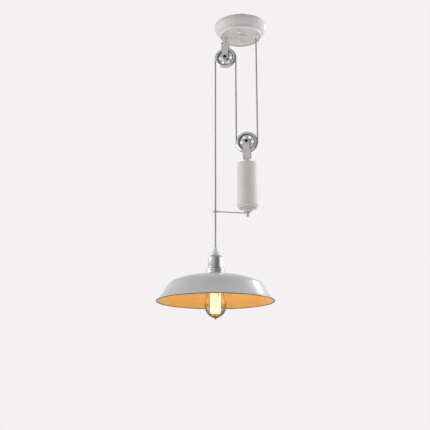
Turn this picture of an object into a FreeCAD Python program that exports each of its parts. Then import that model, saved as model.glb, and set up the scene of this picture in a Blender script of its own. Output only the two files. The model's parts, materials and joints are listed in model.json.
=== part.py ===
import FreeCAD, Part
import math
import os
import re

import Sketcher

# Rise and fall pendant, in millimetres.
# Origin: centre of the ceiling plate, on the ceiling plane. +Z up, +X towards the fixed end of the cable.
# Both wheels, the three straight runs of cable, the weight and the lamp hang in the plane Y = 0.

doc = FreeCAD.newDocument("rise_and_fall_pendant")
dims = doc.addObject("Spreadsheet::Sheet", "dims")
finished = []

sizes = {
    # cable and wheels
    "cable_spacing": 66.5,        # between neighbouring runs, so also the pitch diameter of a wheel
    "cable_diameter": 5,
    "groove_gap": 0.3,            # between the cable and the floor of a wheel's groove
    "wheel_flange": 0.1,          # how far a flange stands above the cable's centre line
    "wheel_width": 12,
    "wheel_web": 5,
    "wheel_rim_depth": 9.5,
    "hub_radius": 10.5,
    "hub_width": 14,
    "bush_radius": 5.5,
    "wheel_hole_radius": 4.5,
    "wheel_hole_circle": 17.5,
    "wheel_edge": 1,
    "running_gap": 0.05,          # between a turning bush and its axle
    "press_gap": 0.02,            # between a bolt, rod or spigot and the hole that holds it
    "side_play": 0.2,             # beside a turning hub
    # yokes and axles
    "strap_width": 23,
    "strap_thickness": 2.5,
    "strap_bend": 4,
    "strap_end_radius": 9.5,
    "strap_taper": 12,
    "yoke_gap": 20,
    "yoke_length": 55,
    "axle_radius": 3,
    "bolt_flats": 9,
    "bolt_head": 4,
    "bolt_tail": 1.5,
    "spacer_radius": 5.5,
    # ceiling plate
    "canopy_radius": 83,
    "canopy_height": 36,
    "canopy_wall": 1.2,
    "canopy_edge": 8,
    "canopy_skirt_round": 32,
    "canopy_skirt_foot": 70,
    "canopy_skirt_height": 27,
    "canopy_step": 2.5,
    "canopy_bead": 3,
    "canopy_bead_land": 2,
    "canopy_recess": 1.5,
    "cover_radius": 15,
    "cover_rise": 4,
    "cover_spigot": 5,
    "cover_spigot_length": 5,
    # ceiling bracket and its fixings
    "bracket_width": 26,
    "bracket_length": 88,
    "bracket_thickness": 2,
    "slot_spacing": 48,
    "slot_length": 14,
    "slot_width": 5,
    "stud_spacing": 72,
    "stud_radius": 2,
    "stud_nut_flats": 7,
    "stud_nut_height": 3.2,
    "cap_nut_radius": 5,
    "cap_nut_height": 8,
    "cap_nut_wall": 1.6,
    "earth_offset": 12.8,
    "screw_head_radius": 3,
    "screw_head_top": 2.1,
    "screw_head_edge": 0.8,
    "screw_head_height": 2,
    "screw_radius": 1.5,
    # terminal block and the wires to it
    "block_length": 34,
    "block_width": 17,
    "block_height": 13,
    "pole_spacing": 11,
    "wire_hole_radius": 1.5,
    "wire_hole_depth": 6,
    "clamp_screw_length": 4,
    "clamp_screw_offset": 4.5,
    "core_diameter": 1.8,
    "core_offset": 1.15,
    "core_rise": 9,
    "core_sweep": 10.8,
    "core_bend": 15.5,
    "core_lay": 4,                # how far outside the neutral core the live one runs
    "earth_sweep": 5.1,
    "earth_rise": 13.5,
    "earth_lead": 9,
    "sheath_end_height": 12.5,
    # cable gland in the ceiling plate
    "gland_radius": 7.5,
    "gland_taper": 0.5,
    "gland_flange": 2.5,
    "gland_nose": 10,
    "gland_thread": 5,
    "gland_thread_length": 10.5,
    "gland_nut_flats": 14,
    "gland_nut_height": 3.5,
    "cable_clearance": 0.1,
    # stem that carries the upper yoke
    "stem_length": 15.9,
    "stem_radius": 4,
    "stem_flange": 8,
    "stem_ball": 6.5,
    "stem_neck": 5,
    "rod_nut_flats": 13,
    "rod_nut_height": 5,
    # hanging heights
    "wheel_separation": 292.1,
    "lamp_drop": 726.7,
    # weight
    "neck_height": 15,
    "neck_top_radius": 6.5,
    "neck_foot_radius": 8.5,
    "neck_taper_top": 7.5,
    "neck_taper_foot": 11.3,
    "weight_radius": 31.5,
    "weight_height": 128.6,
    "weight_wall": 1.5,
    "weight_edge": 1.5,
    "slug_height": 87.3,
    "slug_gap": 0.3,
    "lip_radius": 33.4,
    "lip_height": 7,
    "lip_edge": 2,
    "base_spigot": 7,
    "base_taper": 7.5,
    "base_foot_radius": 26.5,
    "cone_radius": 25.2,
    "cone_height": 11.6,
    "cone_edge": 0.8,
    "cone_foot_radius": 9.5,
    "cone_round": 26,             # of the bulge between its edge and its foot
    "finial_radius": 6,
    "finial_neck": 5,
    "finial_neck_height": 0.8,
    # guide arm
    "arm_thickness": 3.8,
    "arm_collar_height": 5,
    "arm_rise": 10.6,
    "arm_collar_radius": 7,
    "arm_root": 5,                # from the weight's centre line to the inner end of the rod
    "arm_eye_radius": 7.5,
    "arm_eye_wire": 3.6,
    # lampholder
    "grip_height": 23.6,
    "grip_radius": 9.6,
    "grip_nut_radius": 8.4,
    "grip_nut_height": 12,
    "grip_mouth_radius": 5.5,
    "grip_dome": 5,
    "grip_dome_round": 6,
    "grip_thread": 5,
    "grip_thread_length": 8,
    "grip_lock_flats": 15,
    "grip_lock_height": 3,
    "cap_radius": 23.2,
    "cap_height": 39.6,
    "cap_top_radius": 10,
    "cap_dome": 7.5,
    "cap_dome_round": 15.7,
    "cap_wall": 1.2,
    "sleeve_radius": 18.2,
    "sleeve_wall": 1.5,
    "sleeve_top": 24.6,
    "sleeve_gap": 1.2,
    "sleeve_foot": 22,
    "ring_radius": 27.9,
    "ring_height": 15.6,
    "ring_groove": 1.2,
    "ring_bead": 2.4,
    "clamp_radius": 26,
    "clamp_height": 5,
    "insulator_gap": 0.1,
    "insulator_top": 10.4,
    "insulator_height": 30.6,
    "core_end_length": 6.4,       # of the two cores between the sheath and the insulator
    "shell_radius": 13.9,
    "shell_wall": 0.5,
    "shell_height": 26,
    "contact_radius": 4,
    "contact_tip_radius": 2.4,
    "contact_height": 3,
    # shade
    "shade_radius": 175,
    "shade_wall": 1,
    "shade_flare_round": 180,
    "shade_rim_angle": 47.1,
    "shade_side_angle": 59.3,
    "shade_shoulder_round": 25.5,
    "shade_shoulder_angle": 26,
    "shade_dome_round": 198.5,
    "shade_flat_radius": 45.5,    # where the dome has run out to level
    "shade_collar_radius": 29,
    "shade_collar_height": 6.8,
    "shade_collar_slope": 3.2,
    "shade_bead": 1.5,
    "shade_hole_gap": 0.3,
    # bulb
    "bulb_length": 144,
    "bulb_radius": 32,
    "bulb_belly": 33.5,
    "bulb_tip_round": 34,
    "bulb_side_round": 110,
    "bulb_shoulder": 66,
    "bulb_shoulder_radius": 27.5,
    "bulb_neck": 92,
    "bulb_neck_radius": 18.5,
    "bulb_throat": 108,
    "bulb_throat_radius": 13.8,
    "bulb_throat_round": 60,
    "bulb_wall": 0.9,
    "bulb_spigot_radius": 12.2,
    "bulb_spigot_length": 11.5,
    "bulb_cap_radius": 13.1,
    "bulb_cap_wall": 0.7,
    "bulb_cap_height": 23,
    "bulb_cap_slope": 4.5,
    "bulb_contact_seat": 6,
    "bulb_contact_radius": 4.5,
    "bulb_contact_tip": 2.7,
    "bulb_contact_height": 2.2,
    "bulb_contact_gap": 0.3,
    "post_radius": 1.5,
    "post_foot": 7,
    "flare_height": 22,
    "flare_radius": 3,
    "flare_taper": 8.8,
    "flare_edge": 2,
    "cage_foot": 12,
    "cage_height": 72,
    "cage_radius": 15.5,
    "cage_top_radius": 13,
    "strand_radius": 0.45,
    "support_radius": 0.4,
    "support_gap": 0.12,
    "support_hub": 2.6,
    "support_hub_height": 3,
}
for row, (alias, value) in enumerate(sizes.items(), 1):
    dims.set(f"A{row}", alias)
    dims.set(f"B{row}", str(value))
    dims.setAlias(f"B{row}", alias)
doc.recompute()


# ---- places worked out from the sheet ----

pitch = "(cable_spacing / 2)"
cable = "(cable_diameter / 2)"
feedX = "(cable_spacing * 3 / 4)"
weightX = "(cable_spacing / 4)"
middleX = "(-cable_spacing / 4)"
upperX = "(-cable_spacing * 3 / 4)"
lampX = "(-cable_spacing * 5 / 4)"
faceZ = "(canopy_recess - canopy_height)"                       # outside of the ceiling plate's flat face
floorZ = f"({faceZ} + canopy_wall)"                             # inside of it
upperZ = f"({faceZ} - stem_length - yoke_length)"               # upper wheel's centre
lowerZ = f"({upperZ} - wheel_separation)"                       # lower wheel's centre
neckZ = f"({lowerZ} - yoke_length)"                             # where the neck meets the lower yoke
casingZ = f"({neckZ} - neck_height)"                            # top of the weight
baseZ = f"({casingZ} - weight_height)"                          # top of the weight's lip
coneZ = f"({baseZ} - lip_height - base_taper)"
armZ = f"({coneZ} - cone_height)"                               # foot of the cone, on the guide arm's collar
finialZ = f"({armZ} - arm_collar_height)"
sheathZ = f"({faceZ} + sheath_end_height)"                      # upper end of the cable's sheath
lampZ = "(-lamp_drop)"                                          # top of the cord grip
capZ = f"({lampZ} - grip_height)"
ringZ = f"({capZ} - cap_height - sleeve_gap)"
shadeTopZ = f"({ringZ} - ring_height)"
insulatorZ = f"({capZ} - cap_wall - insulator_top - grip_lock_height)"
shellZ = f"({insulatorZ} - insulator_height)"
bulbTopZ = f"({shellZ} - contact_height - bulb_contact_gap)"
bulbTipZ = f"({bulbTopZ} - bulb_length)"
yokeHalf = "(yoke_gap / 2 + strap_thickness)"


def full(expression):
    """Name the sheet in front of every size in an expression."""
    return re.sub(r"[a-z_]+", lambda word: "dims." + word[0] if word[0] in sizes else word[0], expression)


def at(expression):
    """The value of an expression now."""
    return float(dims.evalExpression(full(expression)))


def bind(thing, setting, expression):
    thing.setExpression(setting, full(expression))


def place(thing, x="0", y="0", z="0", turn=None):
    """Put a piece at a place bound to the sheet, turned by (axis, degrees)."""
    if turn:
        rotation = FreeCAD.Rotation(FreeCAD.Vector(*turn[0]), turn[1])
        thing.Placement = FreeCAD.Placement(FreeCAD.Vector(), rotation)
    for letter, expression in zip("xyz", (x, y, z)):
        bind(thing, f"Placement.Base.{letter}", expression)
    return thing


def finish(thing, label):
    """Give a sub-part its name and count it as finished."""
    thing.Label = label
    finished.append(thing)
    return thing


# ---- sketches ----

def newBody(name):
    body = doc.addObject("PartDesign::Body", name + "_body")
    body.AllowCompound = True
    return body


def sketchOn(body, role, name, offset="0"):
    """A sketch on one of the body's own origin planes, moved along its normal."""
    plane = next(f for f in body.Origin.OriginFeatures if f.Role == role)
    sketch = body.newObject("Sketcher::SketchObject", name)
    sketch.AttachmentSupport = [(plane, "")]
    sketch.MapMode = "FlatFace"
    bind(sketch, "AttachmentOffset.Base.z", offset)
    return sketch


def fix(sketch, kind, expression, *where):
    """Add a constraint whose value is bound to the sheet."""
    number = sketch.addConstraint(Sketcher.Constraint(kind, *where, at(expression)))
    sketch.renameConstraint(number, f"value{number}")
    bind(sketch, f"Constraints.value{number}", expression)


def fixPoint(sketch, geometry, end, x, y):
    fix(sketch, "DistanceX", x, -1, 1, geometry, end)
    fix(sketch, "DistanceY", y, -1, 1, geometry, end)


def outline(sketch, corners):
    """A closed outline. A corner is (x, y), or (x, y, "left" or "right", radius) where an arc leads on
    from it with its centre on that side of the way to the next corner."""
    spots = [FreeCAD.Vector(at(c[0]), at(c[1]), 0) for c in corners]
    ends = []
    for n, corner in enumerate(corners):
        start, end = spots[n], spots[(n + 1) % len(spots)]
        if len(corner) == 2:
            number = sketch.addGeometry(Part.LineSegment(start, end), False)
            ends.append((number, 1, 2))
            continue
        side, radius = corner[2], at(corner[3])
        way = end - start
        across = FreeCAD.Vector(-way.y, way.x, 0).normalize()
        reach = math.sqrt(max(radius ** 2 - way.Length ** 2 / 4, 0))
        centre = (start + end) / 2 + across * (reach if side == "left" else -reach)
        first, last = (start, end) if side == "left" else (end, start)
        angles = [math.atan2(p.y - centre.y, p.x - centre.x) for p in (first, last)]
        circle = Part.Circle(centre, FreeCAD.Vector(0, 0, 1), radius)
        number = sketch.addGeometry(Part.ArcOfCircle(circle, *angles), False)
        ends.append((number, 1, 2) if side == "left" else (number, 2, 1))
    for n, (number, begin, finishEnd) in enumerate(ends):
        following, followingBegin, _ = ends[(n + 1) % len(ends)]
        sketch.addConstraint(Sketcher.Constraint("Coincident", number, finishEnd, following, followingBegin))
        fixPoint(sketch, number, begin, corners[n][0], corners[n][1])
        if len(corners[n]) == 4:
            fix(sketch, "Radius", corners[n][3], number)
    return sketch


def hole(sketch, x, y, radius):
    """A whole circle in a sketch."""
    centre = FreeCAD.Vector(at(x), at(y), 0)
    number = sketch.addGeometry(Part.Circle(centre, FreeCAD.Vector(0, 0, 1), at(radius)), False)
    fixPoint(sketch, number, 3, x, y)
    fix(sketch, "Radius", radius, number)
    return sketch


def hexagon(sketch, flats):
    """A hexagon about the sketch's origin, by its width across the flats."""
    corner = f"({flats} / sqrt(3))"
    return outline(sketch, [(f"{corner} * cos({60 * n})", f"{corner} * sin({60 * n})") for n in range(6)])


def slot(sketch, y, width, length):
    """A round-ended slot along Y, centred at (0, y)."""
    half, run = f"({width} / 2)", f"(({length} - {width}) / 2)"
    outline(sketch, [
        (half, f"{y} - {run}"), (half, f"{y} + {run}", "left", half),
        ("0", f"{y} + {run} + {half}", "left", half), (f"-{half}", f"{y} + {run}"),
        (f"-{half}", f"{y} - {run}", "left", half), ("0", f"{y} - {run} - {half}", "left", half),
    ])


# ---- solids ----

def pad(body, sketch, length, both=False, back=False):
    feature = body.newObject("PartDesign::Pad", sketch.Name + "_pad")
    feature.Profile = sketch
    feature.SideType = "Symmetric" if both else "One side"
    feature.Reversed = back
    bind(feature, "Length", length)
    doc.recompute()
    return feature


def pocket(body, sketch, length=None, back=False):
    """Cut a sketch to a depth, or right through both ways."""
    feature = body.newObject("PartDesign::Pocket", sketch.Name + "_pocket")
    feature.Profile = sketch
    before = body.Tip.BaseFeature.Shape.Volume if body.Tip.BaseFeature else 0
    if length is None:
        feature.SideType = "Symmetric"
        feature.Type = "ThroughAll"
    else:
        feature.Reversed = back
        bind(feature, "Length", length)
    doc.recompute()
    if before and feature.Shape.Volume >= before:
        raise ValueError(f"{feature.Name} cuts nothing")
    return feature


def revolve(body, sketch, angle=360, back=False):
    """Turn a sketch about its vertical axis."""
    feature = body.newObject("PartDesign::Revolution", sketch.Name + "_revolution")
    feature.Profile = sketch
    feature.ReferenceAxis = (sketch, ["V_Axis"])
    feature.Angle = angle
    feature.Reversed = back
    doc.recompute()
    return feature


def turned(name, corners):
    """A solid turned about Z from an outline of (radius, height) corners."""
    body = newBody(name)
    revolve(body, outline(sketchOn(body, "XZ_Plane", name + "_profile"), corners))
    return body


def tube(name, outer, inner, length):
    """A plain ring or tube along Z, from 0 up."""
    return turned(name, [(inner, "0"), (outer, "0"), (outer, length), (inner, length)])


def hexNut(name, flats, height, bore):
    """A hexagon nut along Z, from 0 up."""
    body = newBody(name)
    sketch = hexagon(sketchOn(body, "XY_Plane", name + "_profile"), flats)
    hole(sketch, "0", "0", bore)
    pad(body, sketch, height)
    return body


def mirrored(thing, normal):
    """A mirror image of a piece in a plane through the origin."""
    image = doc.addObject("Part::Mirroring", thing.Name + "_mirrored")
    image.Source = thing
    image.Normal = FreeCAD.Vector(*normal)
    return image


def group(label, things):
    """Separate solids under one name."""
    together = doc.addObject("Part::Compound", label + "_group")
    together.Links = things
    return finish(together, label)


def wire(label, stops, diameter):
    """A round wire through the given points: straight runs joined by arcs as large as the runs allow."""
    spots = [FreeCAD.Vector(*(at(number) for number in stop)) for stop in stops]
    edges, radii, here = [], [], spots[0]
    for before, corner, after in zip(spots, spots[1:], spots[2:]):
        back, on = (before - corner), (after - corner)
        shorter = min(back.Length, on.Length)
        half = (math.pi - back.getAngle(on)) / 2
        setBack = 0.45 * shorter
        radii.append(setBack / math.tan(half))
        back.normalize()
        on.normalize()
        start, end = corner + back * setBack, corner + on * setBack
        middle = (back + on).normalize()
        nearest = corner + middle * (radii[-1] / math.cos(half) - radii[-1])
        edges += [Part.LineSegment(here, start).toShape(), Part.Arc(start, nearest, end).toShape()]
        here = end
    edges.append(Part.LineSegment(here, spots[-1]).toShape())
    path = Part.Wire(edges)
    circle = Part.Circle(spots[0], spots[1] - spots[0], at(diameter) / 2)
    piece = doc.addObject("Part::Feature", label + "_wire")
    piece.Shape = path.makePipeShell([Part.Wire(circle.toShape())], True, False)
    expected = path.Length * math.pi * at(diameter) ** 2 / 4
    print(f"{label}: length {path.Length:.1f}, arcs {[round(r, 1) for r in radii]},",
          f"volume {piece.Shape.Volume / expected:.4f} of section times length")
    return finish(piece, label)


# ---- ceiling bracket and its fixings ----

def ceilingBracket():
    body = newBody("bracket")
    plate = outline(sketchOn(body, "XY_Plane", "bracket_plate"), [
        ("-bracket_width / 2", "-bracket_length / 2"), ("bracket_width / 2", "-bracket_length / 2"),
        ("bracket_width / 2", "bracket_length / 2"), ("-bracket_width / 2", "bracket_length / 2")])
    pad(body, plate, "bracket_thickness", back=True)
    cuts = sketchOn(body, "XY_Plane", "bracket_holes")
    for side in ("", "-"):
        slot(cuts, f"({side}slot_spacing / 2)", "slot_width", "slot_length")
        hole(cuts, "0", f"{side}stud_spacing / 2", "stud_radius + press_gap")
    hole(cuts, "pole_spacing / 2", "0", "screw_radius + press_gap")
    hole(cuts, "0", "-earth_offset", "screw_radius + press_gap")
    pocket(body, cuts)
    finish(body, "ceiling_bracket")


def canopyFixings():
    end = "-canopy_height - cap_nut_height / 2"
    stud = place(turned("stud", [
        ("0", "0"), ("stud_radius", "0"),
        ("stud_radius", end), ("0", end)]), y="stud_spacing / 2")
    group("canopy_studs", [stud, mirrored(stud, (0, 1, 0))])
    nut = place(hexNut("stud_nut", "stud_nut_flats", "stud_nut_height", "stud_radius + press_gap"),
                y="stud_spacing / 2", z="-bracket_thickness - stud_nut_height")
    group("stud_nuts", [nut, mirrored(nut, (0, 1, 0))])
    bore = "stud_radius + press_gap"
    cap = place(turned("cap_nut", [
        (bore, "0"), ("cap_nut_radius", "0"),
        ("cap_nut_radius", "-cap_nut_height + cap_nut_radius", "right", "cap_nut_radius"),
        ("0", "-cap_nut_height"), ("0", "-cap_nut_height + cap_nut_wall"),
        (bore, "-cap_nut_height + cap_nut_wall")]),
        y="stud_spacing / 2", z=faceZ)
    group("canopy_cap_nuts", [cap, mirrored(cap, (0, 1, 0))])


def canopy():
    wall = "canopy_wall"
    bead = "(canopy_skirt_foot - canopy_step)"
    body = newBody("canopy")
    profile = sketchOn(body, "XZ_Plane", "canopy_profile")
    outline(profile, [
        ("canopy_radius", "0"),
        ("canopy_radius", "-canopy_edge", "right", "canopy_skirt_round"),
        ("canopy_skirt_foot", "-canopy_skirt_height"),
        (bead, "-canopy_skirt_height - canopy_step"),
        (bead, "-canopy_height + canopy_bead", "right", "canopy_bead"),
        (f"{bead} - canopy_bead", "-canopy_height"),
        (f"{bead} - canopy_bead - canopy_bead_land", "-canopy_height"),
        (f"{bead} - canopy_bead - canopy_bead_land - canopy_recess", faceZ),
        ("0", faceZ), ("0", floorZ),
        (f"{bead} - {wall}", floorZ),
        (f"{bead} - {wall}", f"-canopy_skirt_height - canopy_step + {wall}"),
        (f"canopy_skirt_foot - {wall}", f"-canopy_skirt_height + {wall}", "left",
         f"canopy_skirt_round - {wall}"),
        (f"canopy_radius - {wall}", "-canopy_edge"),
        (f"canopy_radius - {wall}", "0")])
    revolve(body, profile)
    cuts = sketchOn(body, "XY_Plane", "canopy_holes", floorZ)
    hole(cuts, "0", "0", "cover_spigot + press_gap")
    hole(cuts, feedX, "0", "gland_thread + press_gap")
    hole(cuts, upperX, "0", "stem_radius + press_gap")
    for side in ("", "-"):
        hole(cuts, "0", f"{side}stud_spacing / 2", "stud_radius + press_gap")
    pocket(body, cuts, "canopy_wall * 2")
    finish(body, "canopy")
    cover = turned("cover", [
        ("0", "cover_spigot_length"),
        ("0", "-cover_rise", "left", "cover_radius ^ 2 / (2 * cover_rise) + cover_rise / 2"),
        ("cover_radius", "0"), ("cover_spigot", "0"), ("cover_spigot", "cover_spigot_length")])
    finish(place(cover, z=faceZ), "centre_cover")


def cableGland():
    bore = f"({cable} + cable_clearance)"
    gland = turned("gland", [
        (bore, "-gland_flange - gland_nose"), ("gland_thread - gland_taper", "-gland_flange - gland_nose"),
        ("gland_thread + gland_taper", "-gland_flange"), ("gland_radius", "-gland_flange"),
        ("gland_radius", "0"), ("gland_thread", "0"), ("gland_thread", "gland_thread_length"),
        (bore, "gland_thread_length")])
    finish(place(gland, feedX, "0", faceZ), "outlet_gland")
    nut = hexNut("gland_nut", "gland_nut_flats", "gland_nut_height", "gland_thread + press_gap")
    finish(place(nut, feedX, "0", floorZ), "outlet_gland_nut")


def terminalBlock():
    body = newBody("block")
    sides = outline(sketchOn(body, "XY_Plane", "block_sides", "-bracket_thickness"), [
        ("-block_length / 2", "-block_width / 2"), ("block_length / 2", "-block_width / 2"),
        ("block_length / 2", "block_width / 2"), ("-block_length / 2", "block_width / 2")])
    pad(body, sides, "block_height", back=True)
    wires = sketchOn(body, "XZ_Plane", "block_wire_holes")
    poles = ("-pole_spacing", "0", "pole_spacing")
    for x in poles:
        hole(wires, x, "-bracket_thickness - block_height / 2", "wire_hole_radius")
    pocket(body, wires)
    fixing = sketchOn(body, "XY_Plane", "block_fixing_hole")
    hole(fixing, "pole_spacing / 2", "0", "screw_radius + press_gap")
    pocket(body, fixing)
    clamps = sketchOn(body, "XY_Plane", "block_clamp_holes", "-bracket_thickness - block_height")
    screws = newBody("clamp_screws")
    shanks = sketchOn(screws, "XY_Plane", "clamp_screw_shanks", "-bracket_thickness - block_height")
    for x in poles:
        for side in ("", "-"):
            hole(clamps, x, f"{side}clamp_screw_offset", "screw_radius + press_gap")
            hole(shanks, x, f"{side}clamp_screw_offset", "screw_radius")
    pocket(body, clamps, "clamp_screw_length", back=True)
    pad(screws, shanks, "clamp_screw_length")
    finish(body, "terminal_block")
    finish(screws, "terminal_clamp_screws")


def panScrew(name, length):
    """A screw up from below: its head's seat at height 0, its shank above."""
    return turned(name, [
        ("0", "-screw_head_height"), ("screw_head_top", "-screw_head_height"),
        ("screw_head_radius", "-screw_head_edge"), ("screw_head_radius", "0"),
        ("screw_radius", "0"), ("screw_radius", length), ("0", length)])


def bracketScrews():
    finish(place(panScrew("block_screw", "block_height + bracket_thickness"), "pole_spacing / 2", "0",
                 "-bracket_thickness - block_height"), "terminal_block_screw")
    finish(place(panScrew("earth_screw", "bracket_thickness"), "0", "-earth_offset", "-bracket_thickness"),
           "earth_screw")


def canopyWires():
    """Three cores, from the end of the sheath to the block and to the earth screw."""
    blockZ = "-bracket_thickness - block_height / 2"
    mouth = "block_width / 2"
    cores = (("neutral_wire", 180, "pole_spacing", "0"), ("live_wire", 60, "0", "core_lay"))
    for label, angle, pole, lay in cores:
        x, y = f"{feedX} + core_offset * cos({angle})", f"core_offset * sin({angle})"
        wire(label, [
            (x, y, sheathZ),
            (x, y, f"{sheathZ} + core_rise"),
            (f"{feedX} - core_bend", f"{mouth} + core_sweep + {lay}", blockZ),
            (pole, f"{mouth} + core_rise + {lay}", blockZ),
            (pole, f"{mouth} - wire_hole_depth", blockZ)], "core_diameter")
    x, y = f"{feedX} + core_offset * cos(60)", "-core_offset * sin(60)"
    headZ = "-bracket_thickness - screw_head_height / 2"
    wire("earth_wire", [
        (x, y, sheathZ),
        (x, y, f"{sheathZ} + core_rise"),
        (f"{feedX} - core_bend", "-earth_offset - earth_sweep", f"{sheathZ} + earth_rise"),
        ("earth_lead", "-earth_offset", headZ),
        ("screw_head_radius + press_gap", "-earth_offset", headZ)], "core_diameter")


# ---- stem, yokes, axles and wheels ----

def upperStem():
    thread = "stem_radius"
    foot = "(-stem_length - strap_thickness - rod_nut_height - bolt_tail)"
    top = "(canopy_wall + rod_nut_height + bolt_tail)"
    stem = turned("stem", [
        ("0", foot), (thread, foot), (thread, "-stem_length"), ("stem_neck", "-stem_length"),
        ("stem_neck", "-stem_length / 2 - sqrt(stem_ball ^ 2 - stem_neck ^ 2)", "left", "stem_ball"),
        ("stem_neck", "-stem_length / 2 + sqrt(stem_ball ^ 2 - stem_neck ^ 2)"),
        ("stem_neck", "-bolt_tail"), ("stem_flange", "-bolt_tail"), ("stem_flange", "0"), (thread, "0"),
        (thread, top), ("0", top)])
    finish(place(stem, upperX, "0", faceZ), "upper_stem")
    bore = "stem_radius + press_gap"
    inside = place(hexNut("stem_nut", "rod_nut_flats", "rod_nut_height", bore), upperX, "0", floorZ)
    below = place(hexNut("stem_foot_nut", "rod_nut_flats", "rod_nut_height", bore), upperX, "0",
                  f"{faceZ} - stem_length - strap_thickness - rod_nut_height")
    group("upper_stem_nuts", [inside, below])


def yoke(name, x, z, turn):
    """A strap bent to a U over the wheel, its axle at the origin and its crown above."""
    half, inner = yokeHalf, "(yoke_gap / 2)"
    bend = "(strap_bend + strap_thickness)"
    body = newBody(name)
    strap = sketchOn(body, "YZ_Plane", name + "_strap")
    outline(strap, [
        (f"-{half}", "-strap_end_radius"), (f"-{inner}", "-strap_end_radius"),
        (f"-{inner}", f"yoke_length - {bend}", "right", "strap_bend"),
        (f"-{inner} + strap_bend", "yoke_length - strap_thickness"),
        (f"{inner} - strap_bend", "yoke_length - strap_thickness", "right", "strap_bend"),
        (inner, f"yoke_length - {bend}"),
        (inner, "-strap_end_radius"), (half, "-strap_end_radius"),
        (half, f"yoke_length - {bend}", "left", bend),
        (f"{half} - {bend}", "yoke_length"),
        (f"-{half} + {bend}", "yoke_length", "left", bend),
        (f"-{half}", f"yoke_length - {bend}")])
    pad(body, strap, "strap_width", both=True)
    ears = sketchOn(body, "XZ_Plane", name + "_ears")
    outline(ears, [
        ("-strap_width", "yoke_length - strap_taper"), ("-strap_width", "-strap_width"),
        ("strap_width", "-strap_width"), ("strap_width", "yoke_length - strap_taper"),
        ("strap_width / 2", "yoke_length - strap_taper"),
        ("strap_end_radius", "0", "right", "strap_end_radius"),
        ("0", "-strap_end_radius", "right", "strap_end_radius"),
        ("-strap_end_radius", "0"), ("-strap_width / 2", "yoke_length - strap_taper")])
    pocket(body, ears)
    axle = hole(sketchOn(body, "XZ_Plane", name + "_axle_hole"), "0", "0", "axle_radius + press_gap")
    pocket(body, axle)
    crown = hole(sketchOn(body, "XY_Plane", name + "_crown_hole", "yoke_length"), "0", "0",
                 "stem_radius + press_gap")
    pocket(body, crown, "strap_thickness * 2")
    finish(place(body, x, "0", z, turn), name)


def axle(name, x, z):
    """A bolt through the yoke, head in front and nut behind, with a spacer on each side of the hub."""
    body = newBody(name)
    head = hexagon(sketchOn(body, "XY_Plane", name + "_head", yokeHalf), "bolt_flats")
    pad(body, head, "bolt_head")
    shank = hole(sketchOn(body, "XY_Plane", name + "_shank", f"{yokeHalf} + bolt_head"), "0", "0",
                 "axle_radius")
    pad(body, shank, f"2 * {yokeHalf} + 2 * bolt_head + bolt_tail", back=True)
    finish(place(body, x, "0", z, ((1, 0, 0), 90)), name)
    nut = hexNut(name + "_nut", "bolt_flats", "bolt_head", "axle_radius + press_gap")
    finish(place(nut, x, yokeHalf, z, ((1, 0, 0), -90)), name + "_nut")
    spacer = tube(name + "_spacer", "spacer_radius", "axle_radius + press_gap",
                  "yoke_gap / 2 - hub_width / 2 - side_play")
    place(spacer, x, "hub_width / 2 + side_play", z, ((1, 0, 0), -90))
    group(name + "_spacers", [spacer, mirrored(spacer, (0, 1, 0))])


def wheel(name, centreX, z):
    """A grooved wheel about Y, with round holes through its web and a plain bush."""
    rim = f"({pitch} + wheel_flange)"
    web = "(wheel_web / 2)"
    bore = "(bush_radius + press_gap)"
    rimInside = f"({rim} - wheel_rim_depth)"
    halfHub, halfRim = "(hub_width / 2)", "(wheel_width / 2)"
    body = newBody(name)
    profile = outline(sketchOn(body, "XY_Plane", name + "_profile"), [
        (bore, f"-{halfHub}"), ("hub_radius", f"-{halfHub}"), ("hub_radius", f"-{web}"),
        (rimInside, f"-{web}"), (rimInside, f"-{halfRim}"), (f"{rim} - wheel_edge", f"-{halfRim}"),
        (rim, f"-{halfRim} + wheel_edge"), (rim, f"{halfRim} - wheel_edge"),
        (f"{rim} - wheel_edge", halfRim), (rimInside, halfRim), (rimInside, web), ("hub_radius", web),
        ("hub_radius", halfHub), (bore, halfHub)])
    solid = revolve(body, profile)
    groove = body.newObject("PartDesign::Groove", name + "_groove")
    groove.Profile = hole(sketchOn(body, "XY_Plane", name + "_groove_profile"), pitch, "0",
                          f"{cable} + groove_gap")
    groove.ReferenceAxis = (groove.Profile[0], ["V_Axis"])
    groove.Angle = 360
    doc.recompute()
    if groove.Shape.Volume >= solid.Shape.Volume:
        raise ValueError(f"{name} has no groove")
    holes = sketchOn(body, "XZ_Plane", name + "_holes")
    for angle in range(0, 360, 60):
        x, y = f"wheel_hole_circle * cos({angle})", f"wheel_hole_circle * sin({angle})"
        hole(holes, x, y, "wheel_hole_radius")
    pocket(body, holes)
    finish(place(body, centreX, "0", z), name)
    bush = tube(name + "_bush", "bush_radius", "axle_radius + running_gap", "hub_width")
    finish(place(bush, centreX, "-hub_width / 2", z, ((1, 0, 0), -90)), name + "_bush")


def pulleys():
    upright, inverted = ((0, 1, 0), 0), ((0, 1, 0), 180)
    for name, x, z, turn in (("upper", upperX, upperZ, upright), ("lower", weightX, lowerZ, inverted)):
        yoke(name + "_yoke", x, z, turn)
        axle(name + "_axle", x, z)
        wheel(name + "_wheel", x, z)


# ---- the cable: three straight runs and two half turns round the wheels ----

def cableRun(label, x, top, bottom):
    run = doc.addObject("Part::Cylinder", label + "_cylinder")
    bind(run, "Radius", cable)
    bind(run, "Height", f"{top} - ({bottom})")
    finish(place(run, x, "0", bottom), label)


def cableWrap(label, x, z, under):
    """Half a ring round a wheel's pitch circle, over it or under it."""
    body = newBody(label)
    section = hole(sketchOn(body, "XY_Plane", label + "_section"), pitch, "0", cable)
    revolve(body, section, angle=180, back=not under)
    finish(place(body, x, "0", z), label)


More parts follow.
